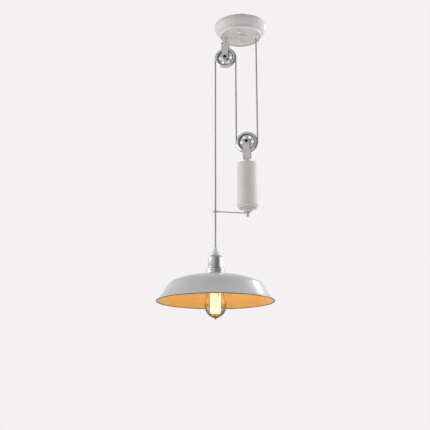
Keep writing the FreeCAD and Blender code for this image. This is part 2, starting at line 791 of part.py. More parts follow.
def mainCable():
    cableRun("cable_feed_run", feedX, sheathZ, lowerZ)
    cableWrap("cable_lower_wrap", weightX, lowerZ, under=True)
    cableRun("cable_middle_run", middleX, upperZ, lowerZ)
    cableWrap("cable_upper_wrap", upperX, upperZ, under=False)
    cableRun("cable_lamp_run", lampX, upperZ, f"{insulatorZ} + core_end_length")
    runs = at(f"{sheathZ} - {lowerZ} + {upperZ} - {lowerZ} + {upperZ} - {insulatorZ} - core_end_length")
    print(f"main cable: length {runs + at(pitch) * 2 * math.pi:.0f}, arcs {at(pitch):.2f}")


# ---- weight ----

def weight():
    bore = "(stem_radius + press_gap)"
    top = f"({neckZ} + strap_thickness + rod_nut_height + bolt_tail)"
    foot = f"({finialZ} - finial_neck_height - sqrt(finial_radius ^ 2 - finial_neck ^ 2))"
    rod = doc.addObject("Part::Cylinder", "weight_rod_cylinder")
    bind(rod, "Radius", "stem_radius")
    bind(rod, "Height", f"{top} - {foot}")
    finish(place(rod, weightX, "0", foot), "weight_rod")
    nut = hexNut("rod_nut", "rod_nut_flats", "rod_nut_height", bore)
    finish(place(nut, weightX, "0", f"{neckZ} + strap_thickness"), "weight_rod_nut")
    neck = turned("neck", [(bore, "-neck_height"), ("neck_foot_radius", "-neck_height"),
                           ("neck_foot_radius", "-neck_taper_foot"),
                           ("neck_top_radius", "-neck_taper_top"),
                           ("neck_top_radius", "0"), (bore, "0")])
    finish(place(neck, weightX, "0", neckZ), "weight_neck")
    inner = "(weight_radius - weight_wall)"
    casing = turned("casing", [
        (bore, "-weight_wall"), (inner, "-weight_wall"), (inner, "-weight_height"),
        ("weight_radius", "-weight_height"), ("weight_radius", "-weight_edge", "left", "weight_edge"),
        ("weight_radius - weight_edge", "0"), (bore, "0")])
    finish(place(casing, weightX, "0", casingZ), "weight_casing")
    slug = tube("slug", f"{inner} - slug_gap", "stem_radius + slug_gap", "slug_height")
    finish(place(slug, weightX, "0", f"{baseZ} + base_spigot"), "ballast_slug")
    base = turned("base", [
        (bore, "base_spigot"), (f"{inner} - press_gap", "base_spigot"), (f"{inner} - press_gap", "0"),
        ("lip_radius - lip_edge", "0", "right", "lip_edge"), ("lip_radius", "-lip_edge"),
        ("lip_radius", "-lip_height"), ("base_foot_radius", "-lip_height - base_taper"),
        (bore, "-lip_height - base_taper")])
    finish(place(base, weightX, "0", baseZ), "weight_base")
    cone = turned("cone", [
        (bore, "0"), ("cone_radius", "0"), ("cone_radius", "-cone_edge", "right", "cone_round"),
        ("cone_foot_radius", "-cone_height"), (bore, "-cone_height")])
    finish(place(cone, weightX, "0", coneZ), "weight_end_cone")
    ball = "(-finial_neck_height - sqrt(finial_radius ^ 2 - finial_neck ^ 2))"
    finial = turned("finial", [
        ("0", f"{ball} - finial_radius", "left", "finial_radius"),
        ("finial_radius", ball, "left", "finial_radius"),
        ("finial_neck", "-finial_neck_height"),
        ("finial_neck", "0"), (bore, "0"), (bore, ball), ("0", ball)])
    finish(place(finial, weightX, "0", finialZ), "weight_finial")


def guideArm():
    """A rod from a collar on the weight's rod to an eye round the lamp's cable."""
    reach = f"({weightX} - {lampX})"
    run = f"sqrt({reach} ^ 2 + arm_rise ^ 2)"
    collar = doc.addObject("Part::Cylinder", "arm_collar")
    bind(collar, "Radius", "arm_collar_radius")
    bind(collar, "Height", "arm_collar_height")
    rod = doc.addObject("Part::Cylinder", "arm_rod")
    bind(rod, "Radius", "arm_thickness / 2")
    bind(rod, "Height", f"{run} - arm_eye_radius - arm_root")
    rod.Placement = FreeCAD.Placement(FreeCAD.Vector(), FreeCAD.Rotation(FreeCAD.Vector(0, -1, 0), 90))
    bind(rod, "Placement.Rotation.Angle", f"90 deg - atan(arm_rise / {reach})")
    bind(rod, "Placement.Base.x", "-arm_root")
    bind(rod, "Placement.Base.z", "arm_thickness / 2")
    eye = doc.addObject("Part::Torus", "arm_eye")
    bind(eye, "Radius1", "arm_eye_radius")
    bind(eye, "Radius2", "arm_eye_wire / 2")
    place(eye, f"-{reach}", "0", "arm_thickness / 2 + arm_rise")
    solid = doc.addObject("Part::MultiFuse", "arm_solid")
    solid.Shapes = [collar, rod, eye]
    bore = doc.addObject("Part::Cylinder", "arm_bore")
    bind(bore, "Radius", "stem_radius + press_gap")
    bind(bore, "Height", "arm_collar_height * 3")
    place(bore, z="-arm_collar_height")
    arm = doc.addObject("Part::Cut", "arm_cut")
    arm.Base = solid
    arm.Tool = bore
    finish(place(arm, weightX, "0", finialZ), "guide_arm")


# ---- lampholder ----

def cordGrip():
    bore = f"({cable} + cable_clearance)"
    grip = turned("grip", [
        (bore, "0"), (bore, "-grip_height - grip_thread_length"),
        ("grip_thread", "-grip_height - grip_thread_length"), ("grip_thread", "-grip_height"),
        ("grip_radius", "-grip_height"), ("grip_radius", "-grip_nut_height"),
        ("grip_nut_radius", "-grip_nut_height"),
        ("grip_nut_radius", "-grip_dome", "left", "grip_dome_round"),
        ("grip_mouth_radius", "0")])
    finish(place(grip, lampX, "0", lampZ), "cord_grip")
    nut = hexNut("grip_nut", "grip_lock_flats", "grip_lock_height", "grip_thread + press_gap")
    finish(place(nut, lampX, "0", f"{capZ} - cap_wall - grip_lock_height"), "cord_grip_nut")


def lampholder():
    inner, bore = "(cap_radius - cap_wall)", "(grip_thread + press_gap)"
    cap = turned("cap", [
        (bore, "0"), (bore, "-cap_wall"),
        ("cap_top_radius", "-cap_wall", "right", "cap_dome_round - cap_wall"),
        (inner, "-cap_dome - cap_wall"), (inner, "-cap_height"), ("cap_radius", "-cap_height"),
        ("cap_radius", "-cap_dome", "left", "cap_dome_round"), ("cap_top_radius", "0")])
    finish(place(cap, lampX, "0", capZ), "holder_cap")
    length = "(sleeve_top + sleeve_gap + ring_height + sleeve_foot)"
    sleeve = tube("sleeve", "sleeve_radius", "sleeve_radius - sleeve_wall", length)
    finish(place(sleeve, lampX, "0", f"{shadeTopZ} - sleeve_foot"), "holder_sleeve")
    bore = "(sleeve_radius + press_gap)"
    waist = "(ring_radius - ring_groove)"
    ring = turned("ring", [
        (bore, "0"), (bore, "-ring_height"),
        ("ring_radius - ring_bead", "-ring_height", "left", "ring_bead"),
        ("ring_radius", "-ring_height + ring_bead"), ("ring_radius", "-ring_height / 2 - ring_groove"),
        (waist, "-ring_height / 2"), ("ring_radius", "-ring_height / 2 + ring_groove"),
        ("ring_radius", "-ring_bead", "left", "ring_bead"), ("ring_radius - ring_bead", "0")])
    finish(place(ring, lampX, "0", ringZ), "holder_ring")
    clamp = tube("clamp", "clamp_radius", bore, "clamp_height")
    finish(place(clamp, lampX, "0", f"{shadeTopZ} - shade_wall - clamp_height"), "shade_clamp_ring")
    edge = "sleeve_radius - sleeve_wall - insulator_gap"
    insulator = turned("insulator", [
        ("0", "0"), ("0", "-insulator_height"), (edge, "-insulator_height"), (edge, "0")])
    finish(place(insulator, lampX, "0", insulatorZ), "socket_insulator")
    shell = tube("shell", "shell_radius", "shell_radius - shell_wall", "shell_height")
    finish(place(shell, lampX, "0", f"{shellZ} - shell_height"), "screw_shell")
    contact = turned("contact", [
        ("0", "0"), ("0", "-contact_height"), ("contact_tip_radius", "-contact_height"),
        ("contact_radius", "0")])
    finish(place(contact, lampX, "0", shellZ), "centre_contact")
    cores = []
    for name, x in (("core_left", "-core_offset"), ("core_right", "core_offset")):
        core = doc.addObject("Part::Cylinder", name)
        bind(core, "Radius", "core_diameter / 2")
        bind(core, "Height", "core_end_length")
        cores.append(place(core, f"{lampX} + {x}", "0", insulatorZ))
    group("lampholder_wires", cores)


# ---- shade ----

def shadeOutline(inset):
    """The shade's curve from its rim up to the flat of its dome, set in from the outside by inset.
    Heights are above the rim, and angles are the slope from level. The straight side takes up what the
    flare, the shoulder and the dome leave of the way from the rim to the flat."""
    rim, side, shoulder = "shade_rim_angle", "shade_side_angle", "shade_shoulder_angle"
    flareX = f"(shade_radius + shade_flare_round * sin({rim}))"
    flareZ = f"(shade_flare_round * cos({rim}))"
    flare = f"(shade_flare_round + {inset})"
    domeX = "shade_flat_radius"
    turnX = f"({domeX} + (shade_dome_round - shade_shoulder_round) * sin({shoulder}))"
    sideX = f"({turnX} + shade_shoulder_round * sin({side}))"
    sideRise = f"(({flareX} - shade_flare_round * sin({side}) - {sideX}) * tan({side}))"
    sideZ = f"({flareZ} - shade_flare_round * cos({side}) + {sideRise})"
    turnZ = f"({sideZ} - shade_shoulder_round * cos({side}))"
    turn = f"(shade_shoulder_round - {inset})"
    domeZ = f"({turnZ} + (shade_shoulder_round - shade_dome_round) * cos({shoulder}))"
    dome = f"(shade_dome_round - {inset})"
    return [
        (f"{flareX} - {flare} * sin({rim})", f"{flareZ} - {flare} * cos({rim})", "right", flare),
        (f"{flareX} - {flare} * sin({side})", f"{flareZ} - {flare} * cos({side})"),
        (f"{sideX} - {inset} * sin({side})", f"{sideZ} - {inset} * cos({side})", "left", turn),
        (f"{turnX} + {turn} * sin({shoulder})", f"{turnZ} + {turn} * cos({shoulder})", "left", dome),
        (domeX, f"{domeZ} + {dome}"),
    ]


def shadeHeight():
    """Height of the collar's top above the rim."""
    return f"({shadeOutline('0')[-1][1]} + shade_collar_height)"


def backwards(corners):
    """The same corners the other way round, each arc with its centre on its other side."""
    swap = {"left": "right", "right": "left"}
    turned_round = []
    for corner, before in zip(reversed(corners), [*reversed(corners[:-1]), None]):
        arc = (swap[before[2]], before[3]) if before and len(before) == 4 else ()
        turned_round.append((*corner[:2], *arc))
    return turned_round


def shade():
    top = shadeHeight()
    outer, inner = shadeOutline("0"), shadeOutline("shade_wall")
    bore = "(sleeve_radius + shade_hole_gap)"
    slopeFoot = "(shade_collar_radius + shade_collar_slope)"
    body = newBody("shade")
    profile = sketchOn(body, "XZ_Plane", "shade_profile")
    outline(profile, [
        *outer,
        (slopeFoot, outer[-1][1]), ("shade_collar_radius", top), (bore, top), (bore, f"{top} - shade_wall"),
        ("shade_collar_radius - shade_wall / 2", f"{top} - shade_wall"),
        (f"{slopeFoot} - shade_wall / 2", inner[-1][1]),
        *backwards(inner)])
    revolve(body, profile)
    bead = sketchOn(body, "XZ_Plane", "shade_bead_profile")
    hole(bead, "shade_radius - shade_wall / 2", "0", "shade_bead")
    revolve(body, bead)
    finish(place(body, lampX, "0", f"{shadeTopZ} - {top}"), "shade")


# ---- bulb ----

def bulb():
    wall = "bulb_wall"
    throat = "(bulb_length - bulb_contact_height - bulb_cap_height)"    # where the cap's rim meets the glass
    neckTop = f"({throat} + bulb_spigot_length)"
    glass = turned("glass", [
        ("0", "0", "left", "bulb_tip_round"), ("bulb_radius", "bulb_belly", "left", "bulb_side_round"),
        ("bulb_shoulder_radius", "bulb_shoulder"),
        ("bulb_neck_radius", "bulb_neck", "right", "bulb_throat_round"),
        ("bulb_throat_radius", "bulb_throat"), ("bulb_spigot_radius", throat),
        ("bulb_spigot_radius", neckTop),
        (f"bulb_spigot_radius - {wall}", neckTop), (f"bulb_spigot_radius - {wall}", throat),
        (f"bulb_throat_radius - {wall}", "bulb_throat", "left", f"bulb_throat_round + {wall}"),
        (f"bulb_neck_radius - {wall}", "bulb_neck"),
        (f"bulb_shoulder_radius - {wall}", "bulb_shoulder", "right", f"bulb_side_round - {wall}"),
        (f"bulb_radius - {wall}", "bulb_belly", "right", f"bulb_tip_round - {wall}"), ("0", wall)])
    finish(place(glass, lampX, "0", bulbTipZ), "bulb_glass")
    inner = "(bulb_cap_radius - bulb_cap_wall)"
    cap = turned("bulb_cap", [
        ("bulb_cap_radius", "0"), ("bulb_cap_radius", "bulb_cap_height - bulb_cap_slope"),
        ("bulb_contact_seat", "bulb_cap_height"), ("0", "bulb_cap_height"),
        ("0", "bulb_cap_height - bulb_cap_wall"), ("bulb_contact_seat", "bulb_cap_height - bulb_cap_wall"),
        (inner, "bulb_cap_height - bulb_cap_slope"), (inner, "0")])
    finish(place(cap, lampX, "0", f"{bulbTipZ} + {throat}"), "bulb_cap")
    button = turned("bulb_button", [
        ("0", "0"), ("bulb_contact_radius", "0"), ("bulb_contact_tip", "bulb_contact_height"),
        ("0", "bulb_contact_height")])
    finish(place(button, lampX, "0", f"{bulbTopZ} - bulb_contact_height"), "bulb_contact")
    flare = f"(bulb_spigot_radius - {wall} - press_gap)"
    stem = turned("post", [
        ("0", "post_foot"), ("post_radius", "post_foot"), ("post_radius", f"{neckTop} - flare_height"),
        ("flare_radius", f"{neckTop} - flare_height"), ("flare_radius", f"{neckTop} - flare_taper"),
        (flare, f"{neckTop} - flare_edge"), (flare, neckTop), ("0", neckTop)])
    finish(place(stem, lampX, "0", bulbTipZ), "bulb_stem")


def rodBetween(start, end, radius):
    way = end - start
    return Part.makeCylinder(radius, way.Length, start, way)


def filament():
    """A cage of long thin strands up and down round the post, carried by a spider of wires at each end."""
    strands = 12
    radius = at("strand_radius")
    height = FreeCAD.Vector(0, 0, at("cage_height"))
    ways = []
    for n in range(strands):
        angle = 2 * math.pi * n / strands
        ways.append(FreeCAD.Vector(math.cos(angle), math.sin(angle), 0))
    stops = []
    for n, way in enumerate(ways):
        foot, head = way * at("cage_radius"), way * at("cage_top_radius") + height
        stops += [foot, head] if n % 2 == 0 else [head, foot]
    solids = [rodBetween(a, b, radius) for a, b in zip(stops, stops[1:])]
    solids += [Part.makeSphere(radius, spot) for spot in stops]
    piece = doc.addObject("Part::Feature", "filament_cage")
    piece.Shape = solids[0].multiFuse(solids[1:])
    finish(place(piece, lampX, "0", f"{bulbTipZ} + cage_foot"), "filament")
    thickness, reach = at("support_hub_height"), at("strand_radius + support_gap")
    up = FreeCAD.Vector(0, 0, 1)
    spiders = []
    for middle, far in ((FreeCAD.Vector(), at("cage_radius")), (height, at("cage_top_radius"))):
        hub = Part.makeCylinder(at("support_hub"), thickness, middle - up * thickness / 2)
        arms = [rodBetween(middle, middle + way * (far - reach), at("support_radius")) for way in ways[::2]]
        bore = Part.makeCylinder(at("post_radius + press_gap"), thickness * 3, middle - up * thickness * 1.5)
        spiders.append(hub.multiFuse(arms).cut(bore))
    supports = doc.addObject("Part::Feature", "filament_spiders")
    supports.Shape = Part.makeCompound(spiders)
    finish(place(supports, lampX, "0", f"{bulbTipZ} + cage_foot"), "filament_supports")


ceilingBracket()
canopyFixings()
canopy()
cableGland()
terminalBlock()
bracketScrews()
canopyWires()
upperStem()
pulleys()
mainCable()
weight()
guideArm()
cordGrip()
lampholder()
shade()
bulb()
filament()

doc.recompute()
for thing in doc.Objects:
    if {"Invalid", "Error"} & set(thing.State):
        raise ValueError(f"{thing.Label} failed: {thing.State}")
for thing in finished:
    if thing.Shape.isNull() or not thing.Shape.isValid() or not thing.Shape.Solids:
        raise ValueError(f"{thing.Label} has no valid solid")

os.makedirs("parts", exist_ok=True)
for thing in finished:
    thing.Shape.exportStep(f"parts/{thing.Label}.step")
print(f"{len(finished)} sub-parts written")
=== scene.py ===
import json
import math

import bmesh
import bpy
from mathutils import Matrix, Vector


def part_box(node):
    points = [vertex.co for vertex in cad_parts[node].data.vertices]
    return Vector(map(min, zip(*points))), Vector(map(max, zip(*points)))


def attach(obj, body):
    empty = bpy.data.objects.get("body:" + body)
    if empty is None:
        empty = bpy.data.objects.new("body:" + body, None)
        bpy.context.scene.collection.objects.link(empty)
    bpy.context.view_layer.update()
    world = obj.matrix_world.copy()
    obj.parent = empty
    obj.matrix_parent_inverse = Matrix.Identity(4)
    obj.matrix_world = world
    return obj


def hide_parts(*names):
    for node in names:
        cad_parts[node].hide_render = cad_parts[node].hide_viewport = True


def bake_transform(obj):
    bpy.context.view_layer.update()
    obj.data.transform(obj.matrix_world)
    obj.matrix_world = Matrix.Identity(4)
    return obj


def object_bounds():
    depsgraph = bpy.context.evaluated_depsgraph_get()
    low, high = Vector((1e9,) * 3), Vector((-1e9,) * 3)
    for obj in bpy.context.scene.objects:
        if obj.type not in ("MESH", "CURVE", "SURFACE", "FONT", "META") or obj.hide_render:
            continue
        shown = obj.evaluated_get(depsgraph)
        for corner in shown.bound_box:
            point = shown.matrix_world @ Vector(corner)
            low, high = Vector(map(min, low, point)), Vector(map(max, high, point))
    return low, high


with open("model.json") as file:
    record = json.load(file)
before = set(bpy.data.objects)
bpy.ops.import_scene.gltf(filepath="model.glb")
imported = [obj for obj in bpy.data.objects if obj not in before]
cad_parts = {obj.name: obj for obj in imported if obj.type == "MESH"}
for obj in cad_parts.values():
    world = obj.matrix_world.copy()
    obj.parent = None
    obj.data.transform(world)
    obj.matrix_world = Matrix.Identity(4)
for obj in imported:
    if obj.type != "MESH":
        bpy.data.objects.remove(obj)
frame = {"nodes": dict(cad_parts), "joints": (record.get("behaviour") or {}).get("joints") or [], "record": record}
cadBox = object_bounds()
nodes = frame["nodes"]
slots = {piece["node"]: piece["material_slot"] for piece in frame["record"]["subparts"]}
mm = 0.001


def jointCentre(name):
    return Vector(next(joint["pos_m"] for joint in frame["joints"] if joint["name"] == name))


def boxCentre(node):
    low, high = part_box(node)
    return (low + high) / 2


upperHub = jointCentre("upper_wheel_turn")
lowerHub = jointCentre("lower_wheel_turn")
lampX = boxCentre("cable_lamp_run").x
weightX = lowerHub.x
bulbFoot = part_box("bulb_glass")[0].z


def addObject(name, data):
    made = bpy.data.objects.new(name, data)
    bpy.context.scene.collection.objects.link(made)
    return made


# camera, fitted to the rim of the shade and the edge of the ceiling plate
cameraValues = {
    "place": (0.3535, -2.0613, -1.1769),
    "turn": 12.0,          # degrees from looking along +Y, towards -X
    "tilt": 14.67,         # degrees above level
    "lens": 59.86,
    "sensor": 36.0,
}


def makeCamera():
    v = cameraValues
    data = bpy.data.cameras.new("camera")
    data.lens = v["lens"]
    data.sensor_width = v["sensor"]
    camera = addObject("camera", data)
    camera.location = v["place"]
    camera.rotation_euler = (math.radians(90 + v["tilt"]), 0, math.radians(v["turn"]))
    bpy.context.scene.camera = camera


makeCamera()
print("camera placed")


# small helpers for node trees: a socket takes a link or a plain value, and a colour has three shares

def feed(tree, socket, value):
    if isinstance(value, bpy.types.NodeSocket):
        tree.links.new(value, socket)
    elif socket.type == "RGBA":
        socket.default_value = (*value, 1)
    elif value is not None:
        socket.default_value = value


def addNode(tree, kind, inputs=None, **settings):
    node = tree.nodes.new(kind)
    for key, value in settings.items():
        setattr(node, key, value)
    for key, value in (inputs or {}).items():
        feed(tree, node.inputs[key], value)
    return node


def nodeOut(*given, **settings):
    return addNode(*given, **settings).outputs[0]


def mathNode(tree, operation, first, second=None, clamp=False):
    return nodeOut(tree, "ShaderNodeMath", {0: first, 1: second}, operation=operation, use_clamp=clamp)


def times(tree, first, second):
    return mathNode(tree, "MULTIPLY", first, second)


def plus(tree, first, second):
    return mathNode(tree, "ADD", first, second)


def minus(tree, first, second):
    return mathNode(tree, "SUBTRACT", first, second)


def vectorMath(tree, operation, first, second):
    return addNode(tree, "ShaderNodeVectorMath", {0: first, 1: second}, operation=operation).outputs


def mixColour(tree, factor, first, second, blend="MIX"):
    return addNode(tree, "ShaderNodeMix", {0: factor, 6: first, 7: second}, data_type="RGBA",
                   blend_type=blend).outputs[2]


def noise(tree, place, scale, detail=2.0):
    return nodeOut(tree, "ShaderNodeTexNoise", {"Vector": place, "Scale": scale, "Detail": detail})


def ranged(tree, value, ends, onto=(0.0, 1.0), kind="LINEAR"):
    return nodeOut(tree, "ShaderNodeMapRange", {
        "Value": value, "From Min": ends[0], "From Max": ends[1], "To Min": onto[0], "To Max": onto[1]},
        interpolation_type=kind)


def objectPlace(tree):
    return addNode(tree, "ShaderNodeTexCoord").outputs["Object"]


def split(tree, vector):
    return addNode(tree, "ShaderNodeSeparateXYZ", {"Vector": vector}).outputs


def offAxis(tree, first, second):
    squares = [mathNode(tree, "POWER", part, 2.0) for part in (first, second)]
    return mathNode(tree, "SQRT", plus(tree, *squares))


def bumped(tree, strength, distance, height):
    return nodeOut(tree, "ShaderNodeBump", {"Strength": strength, "Distance": distance, "Height": height})


def newGroup(name, inputs):
    group = bpy.data.node_groups.new(name, "ShaderNodeTree")
    for label, value in inputs.items():
        kind = "NodeSocketVector" if isinstance(value, tuple) else "NodeSocketFloat"
        group.interface.new_socket(label, in_out="INPUT", socket_type=kind).default_value = value
    return group, group.nodes.new("NodeGroupInput").outputs


def endGroup(group, outputs):
    for label, value in outputs.items():
        kind = "NodeSocketVector" if value.type == "VECTOR" else "NodeSocketFloat"
        group.interface.new_socket(label, in_out="OUTPUT", socket_type=kind)
    out = group.nodes.new("NodeGroupOutput")
    for label, value in outputs.items():
        group.links.new(value, out.inputs[label])
    return group


# worn edges and settled dust, shared by the painted, plated and plastic pieces
ageingValues = {
    "patches": 9.0, "patchGain": 1.6,        # broad patches, which also hold the dust
    "edge": 0.52, "edgeGain": 14.0,          # pointiness at which wear starts, and how fast it grows
    "breakGain": 2.4, "breakFrom": 0.6,      # how the wear is broken up
}


def makeAgeing():
    v = ageingValues
    group, into = newGroup("ageing", {"Scale": 60.0, "Edge Wear": 0.3, "Dust": 0.3})
    place = objectPlace(group)
    shape = addNode(group, "ShaderNodeNewGeometry").outputs
    fine = noise(group, place, into["Scale"], 4.0)
    broad = noise(group, place, v["patches"], 3.0)
    edge = times(group, minus(group, shape["Pointiness"], v["edge"]), v["edgeGain"])
    broken = times(group, edge, minus(group, times(group, fine, v["breakGain"]), v["breakFrom"]))
    lying = mathNode(group, "MAXIMUM", split(group, shape["Normal"])[2], 0.0)
    patchy = times(group, lying, times(group, broad, v["patchGain"]))
    return endGroup(group, {
        "Wear Mask": mathNode(group, "MULTIPLY", broken, into["Edge Wear"], clamp=True),
        "Dust Mask": mathNode(group, "MULTIPLY", patchy, into["Dust"], clamp=True),
        "Mottle": broad})


# the faint orange peel and smears of sprayed paint and enamel
skinValues = {"peel": 0.0004, "smears": 22.0, "uneven": 0.22}


def makePaintSkin():
    v = skinValues
    group, into = newGroup("paintSkin", {"Peel Size": 260.0, "Peel Depth": 0.08, "Roughness": 0.35})
    place = objectPlace(group)
    smear = noise(group, place, v["smears"], 5.0)
    return endGroup(group, {
        "Roughness": plus(group, into["Roughness"], times(group, minus(group, smear, 0.5), v["uneven"])),
        "Normal": bumped(group, into["Peel Depth"], v["peel"], noise(group, place, into["Peel Size"]))})


# fine lines left by turning or brushing, along one direction of a stretched noise
markValues = {"line": 0.0002, "uneven": 0.3, "tint": 0.4, "tintFrom": 0.8}


def makeToolMarks():
    v = markValues
    group, into = newGroup("toolMarks", {"Stretch": (40.0, 40.0, 2600.0), "Depth": 0.12, "Roughness": 0.25})
    lines = noise(group, vectorMath(group, "MULTIPLY", objectPlace(group), into["Stretch"])[0], 1.0, 3.0)
    return endGroup(group, {
        "Roughness": plus(group, into["Roughness"], times(group, minus(group, lines, 0.5), v["uneven"])),
        "Tint": plus(group, times(group, lines, v["tint"]), v["tintFrom"]),
        "Normal": bumped(group, into["Depth"], v["line"], lines)})


ageing = makeAgeing()
paintSkin = makePaintSkin()
toolMarks = makeToolMarks()


def newMaterial(name, **sockets):
    material = bpy.data.materials.new(name)
    material.use_nodes = True
    tree = material.node_tree
    tree.nodes.clear()
    shader = addNode(tree, "ShaderNodeBsdfPrincipled")
    addNode(tree, "ShaderNodeOutputMaterial", {"Surface": shader.outputs[0]})
    for label, value in sockets.items():
        shader.inputs[label.replace("_", " ")].default_value = value
    return material, tree, shader


def agedMaterial(name, dark, colour, dustColour, age, skin, under=None, **sockets):
    # a mottled colour with tool marks, dust and worn edges over it; skin is (group, its values)
    material, tree, shader = newMaterial(name, **sockets)
    aged = addNode(tree, "ShaderNodeGroup", age, node_tree=ageing).outputs
    finish = addNode(tree, "ShaderNodeGroup", skin[1], node_tree=skin[0]).outputs
    tone = mixColour(tree, aged["Mottle"], dark, colour)
    if skin[0] == toolMarks:
        tone = mixColour(tree, 1.0, tone, finish["Tint"], "MULTIPLY")
    tone = mixColour(tree, aged["Dust Mask"], tone, dustColour)
    if under:
        tone = mixColour(tree, aged["Wear Mask"], tone, under)
        feed(tree, shader.inputs["Metallic"], aged["Wear Mask"])
    for label, value in (("Base Color", tone), ("Roughness", finish["Roughness"]), ("Normal", finish["Normal"])):
        feed(tree, shader.inputs[label], value)
    return material


def darker(colour, share):
    return tuple(part * (1 - share) for part in colour)


def paintMaterial(name, colour, under, roughness, wear=0.35, dust=0.25, coat=0.3, shade=0.08):
    return agedMaterial(name, darker(colour, shade), colour, (0.62, 0.60, 0.56), {"Edge Wear": wear, "Dust": dust},
                        (paintSkin, {"Roughness": roughness}), under, Coat_Weight=coat, Coat_Roughness=0.2)


def metalMaterial(name, colour, dull, roughness, stretch, depth=0.12):
    return agedMaterial(name, dull, colour, (0.5, 0.49, 0.46), {"Edge Wear": 0.2, "Dust": 0.15, "Scale": 120.0},
                        (toolMarks, {"Stretch": stretch, "Depth": depth, "Roughness": roughness}), Metallic=1.0)


def plasticMaterial(name, colour, roughness, grain=420.0, soft=0.0):
    return agedMaterial(name, darker(colour, 0.14), colour, (0.55, 0.54, 0.5), {"Edge Wear": 0.0, "Dust": 0.2},
                        (paintSkin, {"Peel Size": grain, "Peel Depth": 0.05, "Roughness": roughness}),
                        Subsurface_Weight=soft, Subsurface_Scale=0.002)


def underTone(material):
    # the material's tree, its colour socket and what feeds that, for a tone laid over it
    tree = material.node_tree
    shader = next(node for node in tree.nodes if node.type == "BSDF_PRINCIPLED")
    return tree, shader.inputs["Base Color"], shader.inputs["Base Color"].links[0].from_socket


# two sets of yarn wound left and right over each other, read from the cable's own attribute
braidValues = {
    "yarns": 12.0,            # each way round
    "lift": 95.0,             # crossings a metre for each yarn pair
    "dark": (0.15, 0.142, 0.14), "light": (0.60, 0.58, 0.57),
    "fuzz": 1400.0, "fuzzDepth": 0.25, "flecks": 90.0, "fleckGain": 0.9, "fleckFrom": 0.45,
}


def braidMaterial():
    v = braidValues
    material, tree, shader = newMaterial("cableBraid", Roughness=0.85, Sheen_Weight=0.25)
    lay = addNode(tree, "ShaderNodeAttribute", attribute_name="cableLay").outputs["Vector"]
    across, deep, reach = split(tree, lay)
    turn = mathNode(tree, "DIVIDE", mathNode(tree, "ARCTAN2", deep, across), 2 * math.pi)
    roundTurn = times(tree, turn, v["yarns"])
    along = times(tree, reach, v["lift"] * v["yarns"] / 4)
    ways = plus(tree, roundTurn, along), minus(tree, roundTurn, along)
    cell = plus(tree, *(mathNode(tree, "FLOOR", way) for way in ways))
    over = mathNode(tree, "ABSOLUTE", mathNode(tree, "MODULO", cell, 2.0))
    ridges = [mathNode(tree, "SINE", times(tree, mathNode(tree, "FRACT", way), math.pi)) for way in ways]
    yarn = nodeOut(tree, "ShaderNodeMix", {0: over, 2: ridges[0], 3: ridges[1]})
    place = objectPlace(tree)
    flecks = noise(tree, place, v["flecks"], 4.0)
    # each yarn is painted dark where it dips at its edges: painted shade in the grooves between yarns, over flecks
    # of random tone
    tone = times(tree, yarn, plus(tree, times(tree, flecks, v["fleckGain"]), v["fleckFrom"]))
    feed(tree, shader.inputs["Base Color"], mixColour(tree, tone, v["dark"], v["light"]))
    height = plus(tree, yarn, times(tree, noise(tree, place, v["fuzz"]), v["fuzzDepth"]))
    feed(tree, shader.inputs["Normal"], bumped(tree, 0.7, 0.0003, height))
    return material


# thin glass lets the filament's light straight out, and is darker where it is seen edge on
glassValues = {
    "facing": 0.9, "streaks": 14.0, "streakGain": 0.3, "streakFrom": 0.85,
    "ripple": 0.03, "rippleDepth": 0.0005, "gloss": 0.15, "edgePower": 1.6,
}
# the bulb's amber is deepest at its tip, and low on the bulb its edges are painted near black as painted shade; a
# fade is the heights at which it begins and ends
amberTipAndEdgeShade = {
    "centre": (0.95, 0.62, 0.27), "centreFade": (bulbFoot + 0.020, bulbFoot + 0.008),
    "rim": (0.012, 0.003, 0.001), "rimFade": (bulbFoot + 0.050, bulbFoot + 0.036),
    "edge": (0.030, 0.009, 0.003),
}


def glassMaterial(name, centre, rim, tip=None):
    v = glassValues
    material, tree, shader = newMaterial(
        name, Roughness=0.0, Transmission_Weight=1.0, IOR=1.45, Specular_IOR_Level=v["gloss"])
    grazing = addNode(tree, "ShaderNodeLayerWeight", {"Blend": 0.5}).outputs["Facing"]
    place = objectPlace(tree)
    streaks = noise(tree, place, v["streaks"])
    clear = nodeOut(tree, "ShaderNodeBsdfTransparent", {"Color": centre})
    body = shader.outputs[0]
    if tip:
        height = split(tree, place)[2]
        nearTip, lowEdgeShade = (ranged(tree, height, tip[key], kind="SMOOTHSTEP") for key in ("centreFade", "rimFade"))
        centre = mixColour(tree, nearTip, centre, tip["centre"])
        rim = mixColour(tree, lowEdgeShade, rim, tip["rim"])
        # a nearly black sheet at the grazing edges low on the bulb: painted shade
        edge = nodeOut(tree, "ShaderNodeBsdfPrincipled", {"Base Color": tip["edge"], "Roughness": 0.2})
        share = times(tree, mathNode(tree, "POWER", grazing, v["edgePower"]), lowEdgeShade)
        body = nodeOut(tree, "ShaderNodeMixShader", {0: share, 1: body, 2: edge})
    tone = times(tree, mathNode(tree, "POWER", grazing, v["facing"]),
                 plus(tree, times(tree, streaks, v["streakGain"]), v["streakFrom"]))
    feed(tree, shader.inputs["Base Color"], mixColour(tree, tone, centre, rim))
    feed(tree, shader.inputs["Normal"], bumped(tree, v["ripple"], v["rippleDepth"], streaks))
    shadow = addNode(tree, "ShaderNodeLightPath").outputs["Is Shadow Ray"]
    both = nodeOut(tree, "ShaderNodeMixShader", {0: shadow, 1: body, 2: clear})
    output = next(node for node in tree.nodes if node.type == "OUTPUT_MATERIAL")
    feed(tree, output.inputs["Surface"], both)
    return material


def filamentMaterial():
    material, tree, shader = newMaterial("glowingFilament", Roughness=0.6, Emission_Strength=1.9)
    glow = mixColour(tree, noise(tree, objectPlace(tree), 60.0), (1.0, 0.84, 0.52), (1.0, 0.92, 0.66))
    for label in ("Base Color", "Emission Color"):
        feed(tree, shader.inputs[label], glow)
    return material


